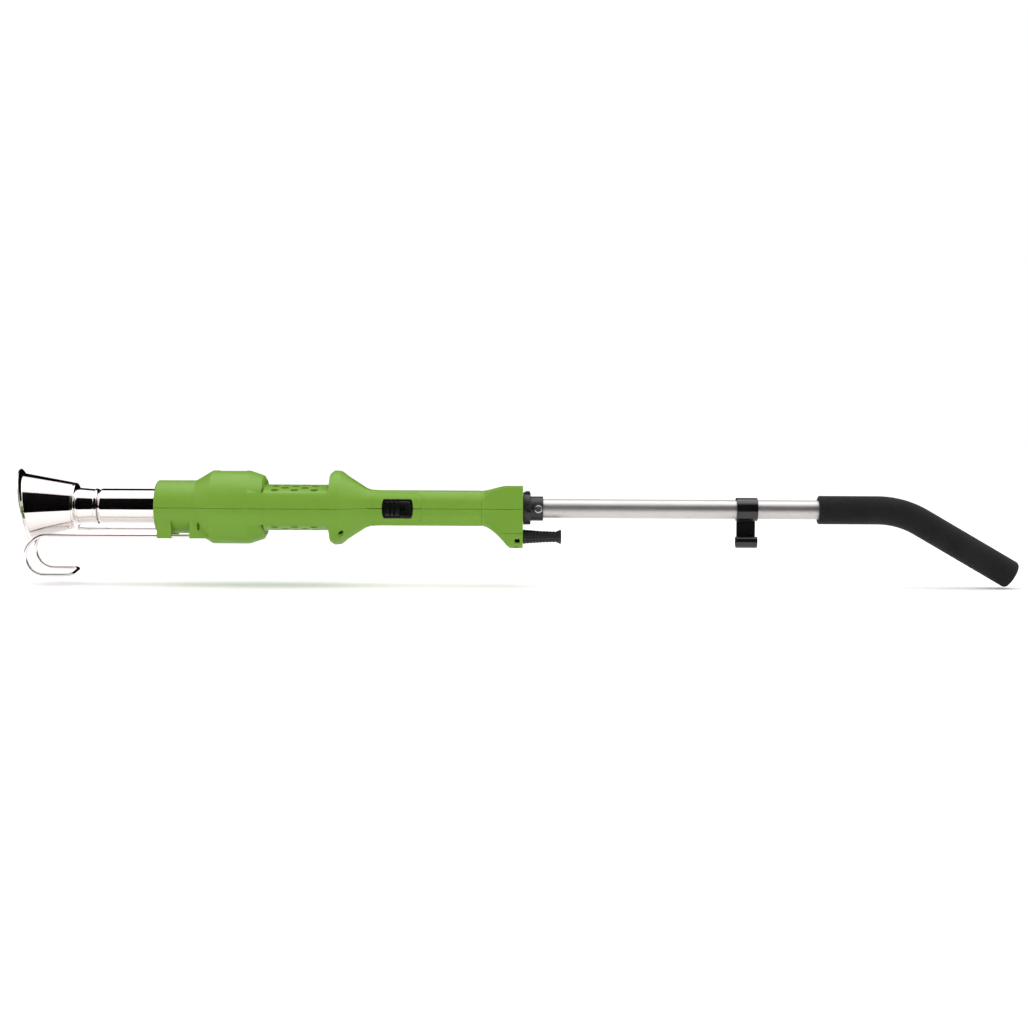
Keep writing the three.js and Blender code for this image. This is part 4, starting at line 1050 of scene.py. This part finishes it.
def plateOutline(x0, x1, half, bulge, steps=10):
    corner = switch["corner"]
    points = []
    for x, way in ((x1, 1), (x0, -1)):
        for k in range(steps + 1):
            z = -way * half * (1 - 2 * k / steps)
            shift = bulge * (abs(z) / half) ** 2.4
            points.append((x - way * shift, z))
    return rounded([(x, z, corner if abs(abs(z) - half) < 0.01 else 0) for x, z in points], steps=4)


def makeSwitch():
    low, high = toolBox("switch_bezel")
    sliderLow, sliderHigh = toolBox("switch_slider")
    face = low.y
    sliderFront = sliderLow.x
    half = (high.z - low.z) / 2
    outline = plateOutline(low.x, high.x, half, switch["bulge"])
    plate = slab("switchBezel", outline, face, high.y, switch["edge"])
    room = switch["room"]
    pocketHalf = switch["sliderHeight"] / 2 + room
    pocketBack = sliderFront + switch["slider"] + switch["travel"] + room
    pocket = easedBox("pocket", (sliderFront - room, face - 3, -pocketHalf),
                      (pocketBack, face + switch["pocket"], pocketHalf), 0.9)
    stem = switch["stem"]
    stemFront = sliderFront + switch["slider"] / 2 - stem
    slot = easedBox("stemRoom", (stemFront - 0.3, face - 1, -stem - 0.3),
                    (stemFront + 2 * stem + switch["travel"] + 0.3, high.y + 1, stem + 0.3), 0)
    combine(plate, [pocket, slot])
    mount(plate, "housing", "gloss_black", ["switch_bezel"], 40)

    top = sliderLow.y
    sliderHalf = switch["sliderHeight"] / 2
    base = easedBox("switchSlider", (sliderFront, top + 0.8, -sliderHalf),
                    (sliderFront + switch["slider"], face + switch["pocket"] - 0.2, sliderHalf), 0.6)
    extras = []
    ribHalf = sliderHalf - 0.7
    for start in switch["ribStarts"]:
        x = sliderFront + start
        extras.append(easedBox("rib", (x, top, -ribHalf),
                               (x + switch["ribWidth"], top + switch["ribHeight"], ribHalf), 0.55))
    extras.append(easedBox("stem", (stemFront, face + 1, -stem),
                           (stemFront + 2 * stem, sliderHigh.y, stem), 0))
    combine(base, extras, "UNION")
    mount(base, "switch", "gloss_black", ["switch_slider"], 40)


socket = {
    "flange": 16.9, "flangeLength": 7.7, "collar": 12.8, "bore": 10.2, "plug": 13.6, "wireRoom": 7.3,
    "floor": 2.6, "headRadius": 4.1, "headHeight": 1.9, "screwRadius": 1.9, "hexagon": 1.75,
}


def makeSocket():
    low, high = toolBox("pole_socket")
    screwLow, screwHigh = toolBox("socket_screw")
    flangeFront = places["back"] + 0.3
    flangeBack = flangeFront + socket["flangeLength"]
    floor = low.x + socket["floor"]
    outline = rounded([
        (low.x, socket["wireRoom"], 0), (low.x, socket["plug"], 0.6), (flangeFront, socket["plug"], 0.2),
        (flangeFront, socket["flange"], 0.5), (flangeBack, socket["flange"], 0.9),
        (flangeBack, socket["collar"], 0.6), (high.x, socket["collar"], 0.8), (high.x, socket["bore"], 0.4),
        (floor, socket["bore"], 0.2), (floor, socket["wireRoom"], 0),
    ])
    piece = lathe("poleSocket", outline, 96)
    screwX = (screwLow.x + screwHigh.x) / 2
    bossFace = low.y if low.y > -15 else -socket["collar"] - 1.4
    boss = lathe("boss", rounded([(0, 0, 0), (0, 5.2, 0.7), (4, 5.4, 0), (4, 0, 0)]), 40)
    turned(boss, 90, "Z", (screwX, bossFace, 0))
    lug = easedBox("latch", (flangeFront + 2.2, -4.4, 14), (flangeBack - 0.8, 4.4, high.z), 0.9)
    rim = easedBox("rim", (flangeFront + 0.2, -7, 14), (flangeBack - 0.4, 7, socket["flange"] + 0.2), 0.6)
    combine(piece, [boss, lug, rim], "UNION")
    slot = easedBox("latchSlot", (flangeBack - 4.2, -20, -3.2), (flangeBack + 0.2, -14.6, 3.4), 0.3)
    combine(piece, [bore("room", socket["bore"], low.x + 2.7, high.x + 3), slot])
    mount(piece, "housing", "black_plastic", ["pole_socket"], 38)

    radius, height, stem = socket["headRadius"], socket["headHeight"], socket["screwRadius"]
    length = screwHigh.y - screwLow.y
    outline = rounded([(0, 0, 0), (0, radius, 1.7), (height, radius, 0.2), (height, stem, 0),
                       (length, stem, 0.3), (length, 0, 0)])
    head = turned(lathe("socketScrew", outline, 48), 90, "Z")
    size = socket["hexagon"]
    hexagon = lathe("hex", [(-1, 0), (-1, size), (1.4, size), (1.4, 0)], 6)
    combine(head, [turned(hexagon, 90, "Z")])
    head.data.transform(Matrix.Translation(Vector((screwX, screwLow.y, 0)) * mm))
    mount(head, "housing", "steel", ["socket_screw"], 40)


pole = {
    "radius": 10, "wall": 1.4, "bend": 30, "bendRadius": 92, "cornerBack": 136.8, "foam": 14.9, "foamEnd": 5,
}


def poleStops(x0):
    bend = math.radians(pole["bend"])
    end = toolBox("foam_grip")[1]
    corner = Vector((end.x - pole["cornerBack"] * math.cos(bend) - pole["foam"] * math.sin(bend), 0, 0))
    tail = corner + Vector((math.cos(bend), 0, -math.sin(bend))) * pole["cornerBack"]
    return route([(Vector((x0, 0, 0)), 0), (corner, pole["bendRadius"]), (tail, 0)], 3)


def makePole():
    poleLow = toolBox("pole_tube")[0]
    foamLow = toolBox("foam_grip")[0]
    stops = poleStops(poleLow.x)
    length = stopsLength(stops)
    end = length - pole["foamEnd"] - 0.3
    r, wall = pole["radius"], pole["wall"]
    profile = [(0, r - wall), (0.4, r), (end, r), (end, r - wall)]
    tube = sweep("poleTube", stops, profile, 72, 20)
    screwX = sum(v.x for v in toolBox("socket_screw")) / 2
    hole = lathe("hole", [(-20, 0), (-20, 2.2), (0, 2.2), (0, 0)], 24)
    combine(tube, [turned(hole, 90, "Z", (screwX, 0, 0))])
    mount(tube, "housing", "aluminium", ["pole_tube"], 50)

    start = foamLow.x - poleLow.x
    inside, plug = r + 0.15, length - pole["foamEnd"]
    outside = rounded([
        (start, inside, 0), (start, pole["foam"], 1.6), (length, pole["foam"], 4.2), (length, 0, 0),
        (plug, 0, 0), (plug, inside, 0),
    ], steps=6)
    foam = sweep("foamGrip", stops, outside, 96, 1.6)
    for vert in foam.data.vertices:
        away = noise.noise(vert.co * 260) * 0.10 + noise.noise(vert.co * 900) * 0.05
        inward = Vector((0, -vert.co.y, 0)).normalized() if abs(vert.co.y) > 0.004 else Vector((0, 0, 0))
        vert.co += inward * (abs(away) * mm)
    mount(foam, "housing", "foam", ["foam_grip"], 60)


clip = {"ring": 12.3, "hookRadius": 6.8, "wall": 2.0, "drop": 33.6}


def makeClip():
    low, high = toolBox("cable_clip")
    x0, x1 = low.x, high.x
    outer, inner = clip["ring"], pole["radius"] + 0.2
    section = rounded([(x0, inner, 0.3), (x0, outer, 0.7), (x1, outer, 0.7), (x1, inner, 0.3)])
    ring = lathe("cableClip", section, 96)
    # strap and hook as one bent strip seen along the pole
    centre = Vector((0, -clip["drop"]))
    middle = clip["hookRadius"] - clip["wall"] / 2
    path = [Vector((middle, -outer + 1.2)), Vector((middle, centre.y + 2))]
    for k in range(19):
        angle = math.radians(-k * 11.2)
        path.append(centre + Vector((math.cos(angle), math.sin(angle))) * middle)
    half = clip["wall"] / 2
    left, right = [], []
    for i, point in enumerate(path):
        ahead = path[min(i + 1, len(path) - 1)] - path[max(i - 1, 0)]
        normal = Vector((-ahead.y, ahead.x)).normalized() * half
        left.append(point + normal)
        right.append(point - normal)
    outline = left + right[::-1]
    rings = []
    for x in (x0 + 1.4, x1 - 1.4):
        rings.append([Vector((x, p.x, p.y)) * mm for p in outline])
    strap = skin("strap", rings)
    near, far = middle - half, middle + half
    hook = lathe("hook", rounded([(x0, near, 0.3), (x0, far, 0.6), (x1, far, 0.6), (x1, near, 0.3)]), 64)
    hook.data.transform(Matrix.Translation(Vector((0, 0, centre.y)) * mm))
    mouthTop = centre.y + 12
    mouth = easedBox("mouth", (x0 - 1, 3 - clip["hookRadius"], centre.y + 0.8),
                     (x1 + 1, near, mouthTop), 0)
    lipTrim = easedBox("lipTrim", (x0 - 1, -9, centre.y + 5.4), (x1 + 1, 0, mouthTop), 0)
    combine(hook, [mouth, lipTrim])
    combine(ring, [strap, hook], "UNION")
    combine(ring, [bore("room", inner, x0 - 1, x1 + 1, sides=96)])
    mount(ring, "clip", "gloss_black", ["cable_clip"], 40)


sleeve = {"root": 7.7, "neck": 5.7, "end": 7.3, "hole": 3.7, "length": 40, "flutes": 12, "depth": 0.85}


def makeSleeve():
    low, high = toolBox("cord_sleeve")
    middle = (low.z + high.z) / 2
    inside = places["back"] - housing["wall"] - 0.3
    root = high.x - sleeve["length"]
    end = high.x
    neck = sleeve["root"] - 1.2
    outline = rounded([
        (low.x, sleeve["hole"], 0), (low.x, sleeve["root"], 0.4), (inside, sleeve["root"], 0.2),
        (inside, neck, 0), (root, neck, 0), (root, sleeve["root"], 0.5),
        (root + 20, sleeve["neck"] + 0.5, 20), (end - 5, sleeve["neck"], 6),
        (end - 1.8, sleeve["end"], 0.5), (end, sleeve["end"], 0.4),
        (end, sleeve["hole"], 0.4),
    ], steps=8)
    dense = []
    for (xa, ra), (xb, rb) in zip(outline, outline[1:] + outline[:1]):
        pieces = max(1, math.ceil(abs(xb - xa) / 0.5)) if min(ra, rb) > neck - 1 else 1
        for k in range(pieces):
            dense.append((xa + (xb - xa) * k / pieces, ra + (rb - ra) * k / pieces))
    piece = lathe("cordSleeve", dense, 144)
    for vert in piece.data.vertices:
        x = vert.co.x / mm
        radial = Vector((0, vert.co.y, vert.co.z))
        if root + 1 < x < end - 3.5 and radial.length / mm > sleeve["neck"] - 0.6:
            angle = math.atan2(radial.z, radial.y)
            lead = min((x - root - 1) / 2, (end - 3.5 - x) / 2, 1)
            flute = max(math.cos(angle * sleeve["flutes"]), 0) ** 0.6
            around = max(math.cos((x - root) * 2 * math.pi / 3.4), 0) ** 0.7
            vert.co -= radial.normalized() * (sleeve["depth"] * lead * max(flute, around * 0.6)) * mm
    piece.data.transform(Matrix.Translation(Vector((0, 0, middle)) * mm))
    mount(piece, "housing", "rubber", ["cord_sleeve"], 50)


makeBell()
makeOutlet()
makeStand()
makeHousing()
makeScrews()
makeSwitch()
makeSocket()
makePole()
makeClip()
makeSleeve()
print("pieces made")


studio = {
    "distance": 2.0, "elevation": 3.0, "roll": 0.3, "mmPerPixel": 1.05, "imageSize": 1028,
    "aimBack": 374.2, "aimUp": -5.8, "sensor": 36, "floorHalf": 9, "floorTop": -0.0003, "cardHalf": 1.6,
    "cards": {"frontCard": (-0.26, -1.3, 2.0), "backCard": (0.3, 1.05, 1.35)},    # near edge, far edge, top
}


def makeCamera():
    data = bpy.data.cameras.new("camera")
    camera = placed("camera", data)
    width = studio["mmPerPixel"] * studio["imageSize"] * mm
    data.sensor_width = studio["sensor"]
    data.lens = studio["sensor"] * studio["distance"] / width
    lift = math.radians(studio["elevation"])
    aim = toolOrigin + Vector((studio["aimBack"], 0, studio["aimUp"])) * mm
    camera.location = aim + Vector((0, -math.cos(lift), math.sin(lift))) * studio["distance"]
    roll = Matrix.Rotation(math.radians(studio["roll"]), 4, "Z")
    look = (aim - camera.location).to_track_quat("-Z", "Y").to_matrix().to_4x4()
    camera.matrix_world = Matrix.Translation(camera.location) @ look @ roll
    data.clip_end = 50
    bpy.context.scene.camera = camera


def matte(name, rough):
    material = bpy.data.materials.new(name)
    material.use_nodes = True
    shader = material.node_tree.nodes["Principled BSDF"]
    shader.inputs["Roughness"].default_value = rough
    shader.inputs["Specular IOR Level"].default_value = 0.0
    return material, shader


def makeFloor():
    material, shader = matte("floor", 0.7)
    tree = material.node_tree
    place = addNode(tree, "ShaderNodeTexCoord")
    drift = placeGroup(tree, "drift", place.outputs["Object"], Base=(0.93, 0.925, 0.92, 1),
                       Light=(0.94, 0.935, 0.93, 1), Dark=(0.92, 0.915, 0.91, 1), Scale=2.0, Amount=0.3)
    tree.links.new(drift["Color"], shader.inputs["Base Color"])
    half = studio["floorHalf"]
    corners = ((-half, -half), (half, -half), (half, half), (-half, half))
    floor = skin("floor", [[Vector((x, y, z)) for x, y in corners] for z in (-0.02, studio["floorTop"])])
    floor.data.materials.append(material)


def makeCards():
    # dark cards in front of the tool and behind it, which only reflections see
    material, shader = matte("card", 1.0)
    shader.inputs["Base Color"].default_value = (0.0015, 0.0014, 0.0014, 1)
    half = studio["cardHalf"]
    for name, (near, far, top) in studio["cards"].items():
        mesh = bpy.data.meshes.new(name)
        corners = [(-half, near, 0.002), (half, near, 0.002), (half, far, top), (-half, far, top)]
        mesh.from_pydata(corners, [], [(0, 1, 2, 3)])
        mesh.materials.append(material)
        card = placed(name, mesh)
        card.visible_camera = False
        card.visible_diffuse = False
        card.visible_shadow = False


def makeWorld():
    world = bpy.data.worlds.new("studio")
    bpy.context.scene.world = world
    world.use_nodes = True
    tree = world.node_tree
    background = tree.nodes["Background"]
    place = addNode(tree, "ShaderNodeTexCoord")
    split = addNode(tree, "ShaderNodeSeparateXYZ")
    tree.links.new(place.outputs["Generated"], split.inputs[0])
    lift = rangeNode(tree, split.outputs["Z"], 0.0, 0.9, 0.72, 1.25)
    paths = addNode(tree, "ShaderNodeLightPath")
    strength = addNode(tree, "ShaderNodeMix", data_type="FLOAT")
    tree.links.new(paths.outputs["Is Camera Ray"], strength.inputs[0])
    tree.links.new(lift, strength.inputs[2])
    strength.inputs[3].default_value = 1.0
    tree.links.new(strength.outputs[0], background.inputs["Strength"])
    background.inputs["Color"].default_value = (1, 1, 1, 1)


lights = {
    "overhead": {
        "place": (0, 0.1, 1.6), "aim": (0, 0, 0), "size": (2.6, 1.4), "power": 14, "glossy": True,
    },
    "frontFill": {
        "place": (0, -2.4, 0.9), "aim": (0, 0, 0.05), "size": (2.4, 1.2), "power": 3, "glossy": False,
    },
}


def areaLight(name, place, aim, size, power, glossy):
    data = bpy.data.lights.new(name, "AREA")
    data.shape = "RECTANGLE"
    data.size, data.size_y = size
    data.energy = power
    light = placed(name, data)
    light.location = place
    light.rotation_euler = (Vector(aim) - Vector(place)).to_track_quat("-Z", "Y").to_euler()
    light.visible_camera = False
    light.visible_glossy = glossy


makeCamera()
makeFloor()
makeCards()
makeWorld()
for name, settings in lights.items():
    areaLight(name, **settings)
bpy.context.scene.view_settings.view_transform = "Standard"
print("studio set")
